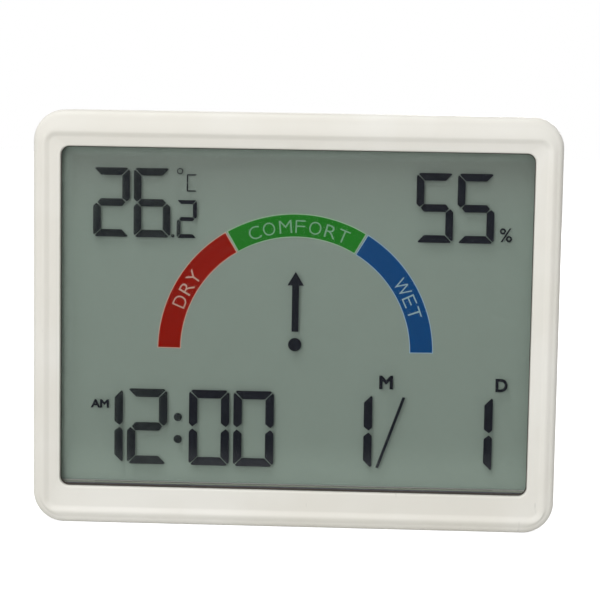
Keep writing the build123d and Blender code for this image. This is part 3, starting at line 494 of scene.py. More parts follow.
def make_dust_group():
    """Build the thin dust that settles on faces that look up."""
    tree, given, out = group(
        "Settled dust",
        [("Colour", COLOUR, (0.8, 0.8, 0.8, 1)), ("Dust", COLOUR, (0.5, 0.48, 0.44, 1)),
         ("Amount", VALUE, 0.1)],
        [("Colour", COLOUR)])
    normal = parts(tree, tree.nodes.new("ShaderNodeNewGeometry").outputs["Normal"])
    upward = ramp(tree, normal[2], low=0.3, high=0.95)
    settled = patches(tree, scale=260.0, detail=5.0, low=0.42, high=0.75)
    mask = product(tree, upward, settled, given.outputs["Amount"])
    feed(tree, out, {"Colour": toward(tree, given, mask, "Dust")})
    return tree


def make_scuff_group():
    """Build the few small scuffs that handling leaves."""
    tree, given, out = group(
        "Handling scuffs",
        [("Colour", COLOUR, (0.8, 0.8, 0.8, 1)), ("Scuff", COLOUR, (0.4, 0.37, 0.33, 1)),
         ("Amount", VALUE, 0.4)],
        [("Colour", COLOUR)])
    drawn = noise(tree, scale=1.0, detail=4.0, vector=stretched(tree, 520.0, 520.0, 110.0))
    streak = ramp(tree, drawn, low=0.66, high=0.74)
    region = patches(tree, scale=52.0, detail=1.0, low=0.6, high=0.7)
    mask = product(tree, streak, region, given.outputs["Amount"])
    feed(tree, out, {"Colour": toward(tree, given, mask, "Scuff")})
    return tree


def make_metal_group():
    """Build the drawn lines, dull patches and uneven gloss of plated metal."""
    tree, given, out = group(
        "Plated metal",
        [("Colour", COLOUR, (0.7, 0.7, 0.68, 1)), ("Tarnish", COLOUR, (0.35, 0.32, 0.28, 1)),
         ("Amount", VALUE, 0.35), ("Roughness", VALUE, 0.3)],
        [("Colour", COLOUR), ("Roughness", VALUE), ("Normal", VECTOR)])
    dull = patches(tree, scale=420.0, detail=4.0, low=0.4, high=0.8)
    lines = noise(tree, scale=1.0, detail=2.0,
                  vector=stretched(tree, 9000.0, 9000.0, 500.0))
    mask = product(tree, dull, given.outputs["Amount"])
    feed(tree, out, {
        "Colour": toward(tree, given, mask, "Tarnish"),
        "Roughness": maths(tree, "ADD", given.outputs["Roughness"], product(tree, mask, 0.4)),
        "Normal": bump(tree, lines, strength=0.12, distance=0.02 * MM)})
    return tree


def make_ink_group():
    """Build the even, faintly speckled coat of screen print."""
    tree, given, out = group(
        "Screen print",
        [("Colour", COLOUR, (0.5, 0.5, 0.5, 1)), ("Fade", COLOUR, (0.6, 0.6, 0.6, 1)),
         ("Amount", VALUE, 0.3)],
        [("Colour", COLOUR), ("Roughness", VALUE)])
    speck = patches(tree, scale=2600.0, detail=2.0, low=0.35, high=0.75)
    cloud = patches(tree, scale=60.0, detail=2.0, low=0.3, high=0.7)
    mask = product(tree, speck, cloud, given.outputs["Amount"])
    feed(tree, out, {
        "Colour": toward(tree, given, mask, "Fade"),
        "Roughness": maths(tree, "ADD", product(tree, speck, 0.15), 0.4)})
    return tree


# About what the screen print's roughness comes to, which a pane scales to its own
PRINT_ROUGHNESS = 0.45

GROUP_MAKERS = {"Moulded plastic": make_moulded_group, "Settled dust": make_dust_group,
                "Handling scuffs": make_scuff_group, "Plated metal": make_metal_group,
                "Screen print": make_ink_group}


def place_group(tree, name, **values):
    """Put a shared group into a material, building the group the first time."""
    shared = bpy.data.node_groups.get(name) or GROUP_MAKERS[name]()
    return add(tree, "ShaderNodeGroup", {key.replace("_", " ").capitalize(): value
                                         for key, value in values.items()}, node_tree=shared)


def rgba(colour):
    """Add a full alpha to a colour."""
    return (*colour, 1)


def toned(colour, share):
    """Scale a colour, darker below 1 and paler above it."""
    return tuple(part * share for part in colour)


def inked(tree, colour, fade, amount):
    """Place the screen print, with its two colours, and give its node."""
    return place_group(tree, "Screen print", colour=rgba(colour), fade=rgba(fade),
                       amount=amount)


def new_material(name, **sockets):
    """Start a material and set plain values on its shader's own sockets."""
    material = bpy.data.materials.new(name)
    material.use_nodes = True
    shader = material.node_tree.nodes["Principled BSDF"]
    for key, value in sockets.items():
        shader.inputs[key.replace("_", " ")].default_value = value
    return material, material.node_tree, shader


def moulded(name, colour, shade=None, roughness=0.45, grain=0.2, scale=3500.0, scuffs=0.0,
            gloss=0.5):
    """Make a moulded plastic with grain, a few scuffs and a little dust."""
    if name in bpy.data.materials:
        return bpy.data.materials[name]
    material, tree, shader = new_material(name, Specular_IOR_Level=gloss)
    body = place_group(tree, "Moulded plastic", colour=rgba(colour),
                       shade=rgba(shade or toned(colour, 0.9)), grain_scale=scale,
                       grain_height=grain, roughness=roughness)
    worn = place_group(tree, "Handling scuffs", colour=body.outputs["Colour"],
                       scuff=rgba(toned(colour, 0.45)), amount=scuffs)
    dusty = place_group(tree, "Settled dust", colour=worn.outputs["Colour"], amount=0.05)
    feed(tree, shader, {"Base Color": dusty.outputs["Colour"],
                        "Roughness": body.outputs["Roughness"],
                        "Normal": body.outputs["Normal"]})
    return material


def plated(name, colour, tarnish, roughness=0.3):
    """Make a plated metal."""
    if name in bpy.data.materials:
        return bpy.data.materials[name]
    material, tree, shader = new_material(name, Metallic=1.0)
    body = place_group(tree, "Plated metal", colour=rgba(colour), tarnish=rgba(tarnish),
                       amount=0.35, roughness=roughness)
    feed(tree, shader, {"Base Color": body.outputs["Colour"],
                        "Roughness": body.outputs["Roughness"],
                        "Normal": body.outputs["Normal"]})
    return material


def printed(name, colour):
    """Make a screen-printed ink that lies behind the glass, so it has next to no shine."""
    material, tree, shader = new_material(name, Specular_IOR_Level=0.02)
    body = inked(tree, colour, toned(colour, 0.8), amount=0.3)
    feed(tree, shader, {"Base Color": body.outputs["Colour"],
                        "Roughness": body.outputs["Roughness"]})
    return material


def clear_pane(name, colour, alpha, roughness):
    """Make a clear pane, which lets light and shadow through by its alpha and keeps a gloss."""
    material, tree, shader = new_material(name, Metallic=1.0, Alpha=alpha)
    haze = inked(tree, colour, toned(colour, 0.9), amount=0.2)
    feed(tree, shader, {
        "Base Color": haze.outputs["Colour"],
        "Roughness": product(tree, haze.outputs["Roughness"], roughness / PRINT_ROUGHNESS)})
    return material


def case_plastic():
    """Give the cream plastic of the case, door and stand."""
    case = settings("clock_case")
    return moulded("case_cream", tuple(case.colour), tuple(case.shade), roughness=0.42,
                   grain=0.18, scuffs=0.35, gloss=0.32)


def zinc_steel():
    """Give the zinc-plated steel of the screws and the crystal's can."""
    return plated("steel_zinc", srgb(178, 180, 182), srgb(110, 108, 104))


def strip_rubber():
    """Give the dark rubber of the contact strip."""
    return moulded("contact_rubber", srgb(66, 66, 68), roughness=0.85, grain=0.5, scale=6000.0)


def seen_directly(tree):
    """Give 1 to rays from the camera, and to those that a gloss or a clear pane passes on."""
    path = tree.nodes.new("ShaderNodeLightPath")
    passed_on = maths(tree, "MAXIMUM", path.outputs["Is Glossy Ray"],
                      path.outputs["Is Transmission Ray"])
    return maths(tree, "MAXIMUM", path.outputs["Is Camera Ray"], passed_on)


# Operators, one for each piece or group of like pieces


class MakeStage(bpy.types.Operator):
    """Add the floor, the lamps, the sky and the camera"""

    bl_idname = "clock.make_stage"
    bl_label = "Stage"

    def execute(self, context):
        stage = settings("clock_stage")
        scene = context.scene
        scene.view_settings.view_transform = "Standard"
        # The display's panes lie one behind the other, and each has two faces
        scene.cycles.transparent_max_bounces = 32
        rest()
        bpy.ops.mesh.primitive_plane_add(size=stage.floor_size)
        floor = context.object
        floor.name = "floor"
        floor.data.materials.append(self.floor_material(stage))
        self.add_sky(scene, stage)
        for name in ("key", "fill", "back"):
            self.add_lamp(f"{name}_lamp", getattr(stage, f"{name}_place"), stage.lamp_size,
                          getattr(stage, f"{name}_power"))
        bpy.ops.object.camera_add(location=stage.camera_place, rotation=stage.camera_turn)
        scene.camera = context.object
        scene.camera.data.lens = stage.camera_lens
        scene.camera.data.clip_start = 0.01
        return {"FINISHED"}

    def floor_material(self, stage):
        """Make a pale floor that the camera sees as white, apart from the object's shadow."""
        material, tree, shader = new_material("floor_pale", Roughness=0.9)
        body = inked(tree, stage.floor_colour, toned(stage.floor_colour, 0.98), amount=0.2)
        glow = add(tree, "ShaderNodeEmission", {"Color": WHITE, "Strength": stage.floor_glow})
        both = add(tree, "ShaderNodeAddShader", {0: shader.outputs[0], 1: glow.outputs[0]})
        mixed = add(tree, "ShaderNodeMixShader", {0: seen_directly(tree), 1: shader.outputs[0],
                                                  2: both.outputs[0]})
        feed(tree, shader, {"Base Color": body.outputs["Colour"]})
        feed(tree, tree.nodes["Material Output"], {"Surface": mixed.outputs[0]})
        return material

    def add_sky(self, scene, stage):
        """Light the scene evenly, with a sky that is white where the camera sees it."""
        world = bpy.data.worlds.new("soft_sky")
        world.use_nodes = True
        scene.world = world
        tree = world.node_tree
        plain = tree.nodes["Background"]
        feed(tree, plain, {"Color": WHITE, "Strength": stage.sky_strength})
        white = add(tree, "ShaderNodeBackground", {"Color": WHITE, "Strength": 1.0})
        mixed = add(tree, "ShaderNodeMixShader", {0: seen_directly(tree), 1: plain.outputs[0],
                                                  2: white.outputs[0]})
        feed(tree, tree.nodes["World Output"], {"Surface": mixed.outputs[0]})

    def add_lamp(self, name, place, size, watts):
        """Add a square lamp that looks at the middle of the case."""
        aim = Vector((0, 0, CASE_MIDDLE)) - Vector(place)
        bpy.ops.object.light_add(type="AREA", location=place,
                                 rotation=aim.to_track_quat("-Z", "Y").to_euler())
        lamp = bpy.context.object
        lamp.name = name
        lamp.data.size = size
        lamp.data.energy = watts


class MakeFrontFrame(bpy.types.Operator):
    """Model the moulded front frame: its rounded rim, soft step, land and window"""

    bl_idname = "clock.make_front_frame"
    bl_label = "Front frame"

    # How many outlines shape the front edge, the crown, the soft step and the window's edge
    edge_rows, crown_rows, step_rows, lip_rows = 8, 5, 8, 5
    # How steeply the crown bends down towards its outer edge
    crown_bend = 1.6

    def execute(self, context):
        case = settings("clock_case")
        shell = smooth(skin("front_frame_shell", self.profile(case), steps=case.corner_steps,
                            ring=True))
        settle(shell, "case", case_plastic(), ["front_frame"])
        for piece in (self.glass_rib(), self.bosses()):
            settle(piece, "case", case_plastic())
        return {"FINISHED"}

    def profile(self, case):
        """List the outlines from the back edge over the front to the inside of the wall."""
        def outline(margin, y, corner=None, end=None, foot=None, width=CASE_WIDTH,
                    height=CASE_HEIGHT, middle=CASE_MIDDLE):
            """Draw in a width and a height by the margins at the sides, the end and the foot."""
            end = margin if end is None else end
            foot = end if foot is None else foot
            return (width - 2 * margin, height - end - foot,
                    case.corner - margin if corner is None else corner,
                    (0, y, middle + (foot - end) / 2))

        bevel = 0.25 * MM
        edge = case.front_edge
        sag = case.crown_sag
        crown_back = FRAME_FRONT + sag
        listed = [outline(bevel, FRAME_BACK), outline(0, FRAME_BACK - bevel),
                  outline(0, crown_back + edge + bevel), outline(0, crown_back + edge)]
        for i in range(1, self.edge_rows):
            angle = pi / 2 * i / self.edge_rows
            listed.append(outline(edge * (1 - cos(angle)), crown_back + edge * (1 - sin(angle)),
                                  end=case.end_edge * (1 - cos(angle)),
                                  foot=edge * (1 - cos(angle))))
        # The crown rises gently to the crest of the step
        rim = edge, case.end_edge, edge
        crest = [margin - case.step_spread / 2
                 for margin in (case.side_margin, case.end_margin, case.foot_margin)]
        for i in range(self.crown_rows):
            share = i / self.crown_rows
            side, end, foot = (low + (high - low) * share for low, high in zip(rim, crest))
            listed.append(outline(side, FRAME_FRONT + sag * (1 - share) ** self.crown_bend,
                                  case.corner - side - share * (case.corner - crest[0]
                                                                - case.step_corner
                                                                - case.step_spread / 2),
                                  end, foot))
        # The soft step falls from the crest to the land in an even S
        land = FRAME_FRONT + case.step_depth
        high = land - case.land_fall / 2
        for i in range(self.step_rows + 1):
            share = i / self.step_rows
            offset = case.step_spread * (share - 0.5)
            fall = share * share * (3 - 2 * share)
            listed.append(outline(case.side_margin + offset,
                                  FRAME_FRONT + (high - FRAME_FRONT) * fall,
                                  case.step_corner - offset, case.end_margin + offset,
                                  case.foot_margin + offset))
        land += case.land_fall / 2
        # The window's edge is rounded, and its wall reaches the display
        lip = case.window_edge
        for i in range(self.lip_rows + 1):
            angle = pi / 2 * i / self.lip_rows
            listed.append(outline(-lip * (1 - sin(angle)), land + lip * (1 - cos(angle)),
                                  case.window_corner + lip * (1 - sin(angle)),
                                  width=case.window_width, height=case.window_height,
                                  middle=WINDOW_MIDDLE))
        back = POLARISER_FRONT
        listed.append(outline(0, back, case.window_corner, width=case.window_width,
                              height=case.window_height, middle=WINDOW_MIDDLE))
        listed.append(outline(case.wall, back))
        listed.append(outline(case.wall, FRAME_BACK))
        return listed

    def glass_rib(self):
        """Skin the rib that holds the display's glass."""
        gap, thickness, height, corner = 0.15 * MM, 1.0 * MM, 1.8 * MM, 0.2 * MM
        outlines = [(GLASS_HIGH.x - GLASS_LOW.x + 2 * margin,
                     GLASS_HIGH.z - GLASS_LOW.z + 2 * margin, corner,
                     (0, POLARISER_FRONT + y, WINDOW_MIDDLE))
                    for margin, y in ((gap, 0), (gap + thickness, 0),
                                      (gap + thickness, height), (gap, height))]
        return smooth(skin("glass_rib", outlines, steps=2, ring=True))

    def bosses(self):
        """Turn the bored bosses that take the screws."""
        bore, chamfer = 0.85 * MM, 0.3 * MM
        made = []
        for node, size in SCREWS.items():
            section = [(bore, 0), (size.boss, 0), (size.boss, size.reach - chamfer),
                       (size.boss - chamfer, size.reach), (bore, size.reach)]
            for x, z in screw_places(node):
                made.append(turned(f"boss_{len(made)}", section, (x, POLARISER_FRONT, z), "Y",
                                   ring=True))
        return smooth(join("screw_bosses", made))


class DressBack(bpy.types.Operator):
    """Finish the rear cover, the battery door and the folding stand"""

    bl_idname = "clock.dress_back"
    bl_label = "Rear cover, door and stand"

    def execute(self, context):
        for node, body in (("rear_cover", "case"), ("battery_door", "door"),
                           ("folding_stand", "stand")):
            finish_copy(node, "finished", body, case_plastic())
        return {"FINISHED"}


class MakeDisplay(bpy.types.Operator):
    """Finish the display's panes, segments and reflector, and add its gasket, which is partly
    painted shade, and its tape
    """

    bl_idname = "clock.make_display"
    bl_label = "Display"

    # The dark gasket is partly a foam ring and partly painted shade in the gap at the window's
    # base.
    # Its section in millimetres: how far each corner lies inside the window's edge,
    # and how far before the display. Its inner corners stand further in along the foot, which
    # widens the painted shade there
    gasket_section = ((0.01, 0.005), (0.01, 0.12), (0.14, 0.12), (0.18, 0.09), (0.18, 0.005))
    gasket_foot = 0.3 * MM
    # Heights from the window's head between which painted shade darkens the reflector, and how
    # far in its bands of painted light, which lift the frame's shade, begin and end, from the
    # window's foot and from its left and its head
    dark_from, dark_to = -22 * MM, 6 * MM
    foot_band, edge_band = (14 * MM, 1 * MM), 3 * MM
    # The segments turn paler from this height, measured from the window's middle, to its foot
    weak_from = -30 * MM

    def execute(self, context):
        look = settings("clock_display")
        dress("front_polariser", clear_pane("polariser_film", srgb(215, 220, 222), 0.002, 0.3))
        glass = clear_pane("display_glass", srgb(205, 225, 215), 0.0006, 0.06)
        dress("front_glass", glass)
        dress("rear_glass", glass)
        dress("cell_seal", clear_pane("seal_resin", srgb(215, 222, 214), 0.0006, 0.3))
        self.gasket()
        self.ledge_mask()
        dress("reflector", self.ground_material(look))
        dress("lit_segments", self.segment_material(look))
        return {"FINISHED"}

    def gasket(self):
        """Skin the thin dark gasket that closes the window against the display; its dark ring
        also paints the shade in the gap at the window's base.
        """
        case = settings("clock_case")
        outlines = []
        for inset, y in self.gasket_section:
            foot = 0 if inset == self.gasket_section[0][0] else self.gasket_foot
            outlines.append((case.window_width - 2 * inset * MM,
                             case.window_height - 2 * inset * MM - foot,
                             case.window_corner - inset * MM,
                             (0, POLARISER_FRONT - y * MM, WINDOW_MIDDLE + foot / 2)))
        ring = smooth(skin("window_gasket", outlines, steps=case.corner_steps, ring=True))
        # The dark foam colour is partly painted shade for the gap at the window's base
        settle(ring, "case", moulded("gasket_foam", srgb(54, 49, 43), roughness=0.8, grain=0.4,
                                     scale=9000.0))

    def ledge_mask(self):
        """Skin the tape over the ledge of the glass, above the rubber strip, and its ends."""
        gap, margin, corner = 0.03 * MM, 0.5 * MM, 0.05 * MM
        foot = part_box("contact_strip")[1].z + gap
        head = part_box("rear_glass")[0].z - 0.02 * MM
        depths = CELL_FRONT + 0.01 * MM, CELL_FRONT + 0.06 * MM
        outlines = [(GLASS_HIGH.x - GLASS_LOW.x - 2 * margin, head - foot, corner,
                     (0, y, (foot + head) / 2)) for y in depths]
        settle(smooth(skin("ledge_tape", outlines, steps=1)), "case",
               printed("ledge_tape", srgb(138, 145, 132)))
        # Dark ends carry the line of the rubber strip on to the window's sides
        inner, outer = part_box("contact_strip")[1].x + gap, GLASS_HIGH.x - margin
        low, head = GLASS_LOW.z, foot - gap
        ends = [skin("tape_end", [(outer - inner, head - low - gap, corner,
                                   (side * (inner + outer) / 2, y, (head + low) / 2))
                                  for y in depths], steps=1) for side in (-1, 1)]
        settle(smooth(join("ledge_ends", ends)), "case", strip_rubber())

    def ground_material(self, look):
        """Make the reflector's grey-green, with painted light where the frame shades it and
        painted shade on top.
        """
        case = settings("clock_case")
        material, tree, shader = new_material("reflector_ground", Specular_IOR_Level=0.02)
        across, _, height = parts(tree, object_place(tree))
        left = -case.window_width / 2
        low, high = (WINDOW_MIDDLE + side * case.window_height / 2 for side in (-1, 1))
        ground = inked(tree, look.ground, toned(look.ground, 0.96), amount=0.5)
        # Painted shade: the ground darkens towards the top of the window
        upper = ramp(tree, height, high + self.dark_from, high + self.dark_to)
        tone = colour_mix(tree, upper, ground.outputs["Colour"], rgba(look.ground_edge))
        # Painted light: paler bands along the foot, the left and the head, where the frame
        # shades the reflector
        at_foot = ramp(tree, height, *(low + reach for reach in self.foot_band))
        at_left = ramp(tree, across, left + self.edge_band, left)
        at_head = ramp(tree, height, high - self.edge_band, high)
        shaded = maths(tree, "MAXIMUM", maths(tree, "MAXIMUM", at_foot, at_left), at_head)
        paler = rgba(toned(look.ground, 1.22))
        feed(tree, shader, {"Base Color": colour_mix(tree, shaded, tone, paler)})
        return material

    def segment_material(self, look):
        """Make the near black of a lit segment, a little paler towards the foot."""
        material, tree, shader = new_material("segment_black", Specular_IOR_Level=0.02)
        height = parts(tree, object_place(tree))[2]
        window_foot = WINDOW_MIDDLE - settings("clock_case").window_height / 2
        # The segments mix towards a grey from the window's middle down to its foot
        weak = ramp(tree, height, WINDOW_MIDDLE + self.weak_from, window_foot)
        body = inked(tree, look.segment, toned(look.segment, 0.7), amount=0.4)
        tone = colour_mix(tree, product(tree, weak, 0.7), body.outputs["Colour"],
                          rgba(srgb(76, 78, 81)))
        feed(tree, shader, {"Base Color": tone})
        return material


class MakeZones(bpy.types.Operator):
    """Colour the three zones of the arch and outline them"""

    bl_idname = "clock.make_zones"
    bl_label = "Colour zones"

    # Each zone's material slot, ink and pale outline
    zones = {"zone_dry": ("zone_red", srgb(131, 15, 2), srgb(200, 162, 142)),
             "zone_comfort": ("zone_green", srgb(29, 111, 29), srgb(152, 182, 152)),
             "zone_wet": ("zone_blue", srgb(13, 63, 113), srgb(142, 174, 192))}
    # How far the print stands behind the face of the rear glass, so that the two don't touch
    sink = 0.015 * MM
    # The outline's thickness, as a share of the print's
    outline_share = 0.6

    def execute(self, context):
        look = settings("clock_display")
        for node, (slot, ink, rim) in self.zones.items():
            printed_zone = merged_copy(node, f"{node}_print")
            for point in printed_zone.data.vertices:
                if point.co.y < PRINT_FRONT + self.sink / 2:
                    point.co.y += self.sink
            settle(printed_zone, "case", printed(f"ink_{node}", ink), [node])
            settle(self.outline(node, look), "case", printed(f"rim_{node}", rim))
        return {"FINISHED"}

    def outline(self, node, look):
        """Grow a thinner copy of the zone by the width of its pale line."""
        piece = merged_copy(node, f"{node}_outline")
        low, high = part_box(node)
        centre = Vector((0, 0, WINDOW_MIDDLE + look.arch_centre))
        middle_y = (low.y + high.y) / 2
        points = piece.data.vertices
        flats = [Vector((point.co.x, 0, point.co.z)) - centre for point in points]
        radii = [flat.length for flat in flats]
        middle_radius = (min(radii) + max(radii)) / 2
        leans = [flat.x / radius for flat, radius in zip(flats, radii)]
        # Points that lean nearly as far as any are those of the zone's ends
        near_end = 1e-3
        first, last = min(leans) + near_end, max(leans) - near_end
        for point, flat, radius, lean in zip(points, flats, radii, leans):
            out = look.outline if radius > middle_radius else -look.outline
            flat *= (radius + out) / radius
            around = Vector((flat.z, 0, -flat.x)).normalized()
            if lean > last:
                flat += around * look.outline
            elif lean < first:
                flat -= around * look.outline
            depth = middle_y + (point.co.y - middle_y) * self.outline_share
            point.co = centre + flat + Vector((0, depth, 0))
        return piece


class MakeLettering(bpy.types.Operator):
    """Set the generic words on the arch and the small marks beside the digits"""

    bl_idname = "clock.make_lettering"
    bl_label = "Lettering"

    # Each letter of the arch and its angle from the vertical, to the right
    arch = {"zone_dry": (("D", -67.4), ("R", -60.5), ("Y", -54.6)),
            "zone_comfort": (("C", -19.45), ("O", -12.7), ("M", -5.1), ("F", 1.65), ("O", 8.5),
                             ("R", 15.7), ("T", 21.8)),
            "zone_wet": (("W", 57.9), ("E", 65.0), ("T", 70.9))}
    # The width of each letter of the arch, as a share of its height
    widths = {"C": 0.92, "O": 0.95, "M": 0.97, "F": 0.76, "R": 0.88, "T": 0.84, "D": 0.86,
              "Y": 0.9, "W": 1.3, "E": 0.78}
    # The upright stroke at the left of these letters lies in this share of their height
    stems = {"F": 0.25, "E": 0.25}
    # How far the strokes of the arch's letters grow: these are thinner than the font's
    growth = -0.01
    # Half the letters' thickness, where a capital is about 0.7 high
    half_thickness = 0.006
    inks = {"zone_dry": srgb(178, 150, 134), "zone_comfort": srgb(112, 152, 122),
            "zone_wet": srgb(136, 164, 166)}
    # Marks with their left, right, foot and head from the window's middle, in millimetres,
    # how far their strokes grow, and their lean in degrees. The last bar is the date's slash
    marks = (("AM", -50.91, -46.33, -22.89, -20.75, 0.042, 0),
             ("M", 21.19, 24.62, -16.59, -13.21, 0.036, 0),
             ("D", 50.0, 53.01, -16.72, -13.4, 0.036, 0),
             ("%", 50.03, 53.08, 20.59, 24.01, 0.009, 0),
             ("I", 20.64, 21.34, -36.5, -17.5, 0.0, 19.67))

    def execute(self, context):
        look = settings("clock_display")
        foot = WINDOW_MIDDLE + look.arch_centre
        for zone, letters in self.arch.items():
            made = []
            for letter, lean in letters:
                angle = radians(lean)
                piece = self.flat_text(letter, f"letter_{zone}_{len(made)}", self.growth)
                self.fit(piece, look.letter_height, look.letter_height * self.widths[letter],
                         look.letter_height * self.stems.get(letter, 0))
                self.stand(piece, angle, (look.letter_radius * sin(angle), PRINT_FRONT,
                                          foot + look.letter_radius * cos(angle)))
                made.append(piece)
            settle(join(f"letters_{zone}", made), "case",
                   printed(f"letter_{zone}", self.inks[zone]))
        made = []
        for text, left, right, low, high, weight, lean in self.marks:
            piece = self.flat_text(text, f"mark_{len(made)}", weight)
            self.fit(piece, (high - low) * MM, (right - left) * MM)
            self.stand(piece, radians(lean), ((left + right) / 2 * MM, CELL_FRONT,
                                              WINDOW_MIDDLE + low * MM))
            made.append(piece)
        settle(join("display_marks", made), "case", bpy.data.materials["segment_black"])
        return {"FINISHED"}

    def flat_text(self, text, name, weight):
        """Write one word flat as a thin mesh whose strokes grow, or shrink below 0."""
        rest()
        bpy.ops.object.text_add()
        piece = bpy.context.object
        piece.name = name
        piece.data.body = text
        piece.data.align_x = "CENTER"
        piece.data.extrude = self.half_thickness
        piece.data.bevel_depth = max(weight, 0)
        piece.data.offset = min(weight, 0)
        piece.data.bevel_resolution = 0
        piece.data.resolution_u = 6
        bpy.ops.object.convert(target="MESH")
        return piece

    def fit(self, piece, height, width, stem=0.0):
        """Scale the letters to a height and a width, and leave the stem's own width as it is."""
        open_whole(piece)
        bpy.ops.mesh.remove_doubles(threshold=1e-5)
        bpy.ops.object.mode_set(mode="OBJECT")
        (left, right), (low, high) = ((min(spans), max(spans)) for spans in (
            [point.co[axis] for point in piece.data.vertices] for axis in range(2)))
        scale = height / (high - low)
        stretch = (width - stem) / ((right - left) * scale - stem)
        for point in piece.data.vertices:
            across = (point.co.x - left) * scale
            if across > stem:
                across = stem + (across - stem) * stretch
            point.co = (across - width / 2, (point.co.y - low) * scale, point.co.z * scale)

    def stand(self, piece, angle, place):
        """Turn the flat letters to face the front, lean them by an angle and set their foot."""
        piece.rotation_euler = (pi / 2, angle, 0)
        piece.location = place
        settle_place(piece)


class MakeButtons(bpy.types.Operator):
    """Finish the push buttons, and the switches under them"""

    bl_idname = "clock.make_buttons"
    bl_label = "Buttons"

    # A dot's section: shares of its radius, and millimetres above the button's face
    dot_section = ((1, -0.1), (1, 0.02), (0.8, 0.06), (0.5, 0.08))
    # The radius of each button's dots, and where they lie along X
    dots = {"set": (0.75 * MM, (0.0,)), "unit": (0.55 * MM, (-1.1 * MM, 1.1 * MM))}
    arrow_radius, arrow_depth, arrow_bevel = 1.15 * MM, 0.18 * MM, 0.05 * MM

    def execute(self, context):
        rubber = moulded("button_grey", srgb(190, 188, 181), roughness=0.55, grain=0.3,
                         scuffs=0.2)
        mark = moulded("mark_grey", srgb(112, 110, 105), roughness=0.5, grain=0.1)
        black = moulded("switch_black", srgb(30, 30, 32), roughness=0.4, grain=0.1)
        for name in ("set", "up", "down", "unit"):
            body = f"key_{name}"
            finish_copy(f"button_{name}", "cap", body, rubber)
            finish_copy(f"plunger_{name}", "round", body, black)
            settle(self.raised_mark(name), body, mark)
        dress("tact_switches", black)
        return {"FINISHED"}

    def raised_mark(self, name):
        """Raise a plain mark on a button: a dot, an arrowhead up or down, or two dots."""
        low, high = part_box(f"button_{name}")
        centre = Vector(((low.x + high.x) / 2, high.y, (low.z + high.z) / 2))
        if name not in self.dots:
            return smooth(self.arrowhead(name, centre))
        radius, places = self.dots[name]
        section = [(radius * share, rise * MM) for share, rise in self.dot_section]
        made = [turned(f"dot_{name}_{len(places)}", section, centre + Vector((across, 0, 0)),
                       "Y") for across in places]
        return smooth(join(f"mark_{name}", made))

    def arrowhead(self, name, centre):
        """Raise a three-sided mark with bevelled edges."""
        rest()
        bpy.ops.mesh.primitive_cylinder_add(vertices=3, radius=self.arrow_radius,
                                            depth=self.arrow_depth, location=centre)
        piece = bpy.context.object
        piece.name = f"mark_{name}"
        open_whole(piece)
        bpy.ops.transform.rotate(value=-pi / 2 if name == "up" else pi / 2, orient_axis="X",
                                 center_override=centre)
        bpy.ops.mesh.bevel(offset=self.arrow_bevel, segments=2, affect="EDGES")
        bpy.ops.mesh.normals_make_consistent(inside=False)
        settle_place(piece)
        return piece


class DressInside(bpy.types.Operator):
    """Finish the parts inside the case"""

    bl_idname = "clock.dress_inside"
    bl_label = "Board and inner parts"

    def execute(self, context):
        dress("lcd_retainer", moulded("retainer_grey", srgb(200, 200, 196), roughness=0.6))
        dress("contact_strip", strip_rubber())
        dress("circuit_board", self.board_material())
        for node, slot, material in (
                ("controller_chip", "chip_black",
                 moulded("chip_black", srgb(24, 24, 25), roughness=0.28, grain=0.05)),
                ("quartz_crystal", "steel", zinc_steel()),
                ("capacitors", "capacitor_sleeve",
                 moulded("capacitor_sleeve", srgb(38, 40, 46), roughness=0.35)),
                ("thermistor", "bead_glaze",
                 moulded("bead_glaze", srgb(36, 34, 34), roughness=0.2, grain=0.05))):
            finish_copy(node, "round", "case", material)
        dress("humidity_sensor", moulded("sensor_white", srgb(226, 227, 224), roughness=0.5))
        return {"FINISHED"}

    def board_material(self):
        """Make the green solder mask with its copper tracks showing through."""
        material, tree, shader = new_material("board_green", Roughness=0.38)
        upright = add(tree, "ShaderNodeMapping", {"Vector": object_place(tree),
                                                  "Rotation": (pi / 2, 0, 0)}).outputs[0]
        tracks = add(tree, "ShaderNodeTexBrick",
                     {"Vector": upright, "Scale": 260.0, "Mortar Size": 0.05,
                      "Color1": BLACK, "Color2": BLACK, "Mortar": WHITE}).outputs["Color"]
        mask = inked(tree, srgb(22, 92, 52), srgb(16, 76, 44), amount=0.6)
        feed(tree, shader, {
            "Base Color": colour_mix(tree, tracks, mask.outputs["Colour"],
                                     rgba(srgb(46, 124, 72))),
            "Normal": bump(tree, tracks, strength=0.3, distance=0.04 * MM)})
        return material


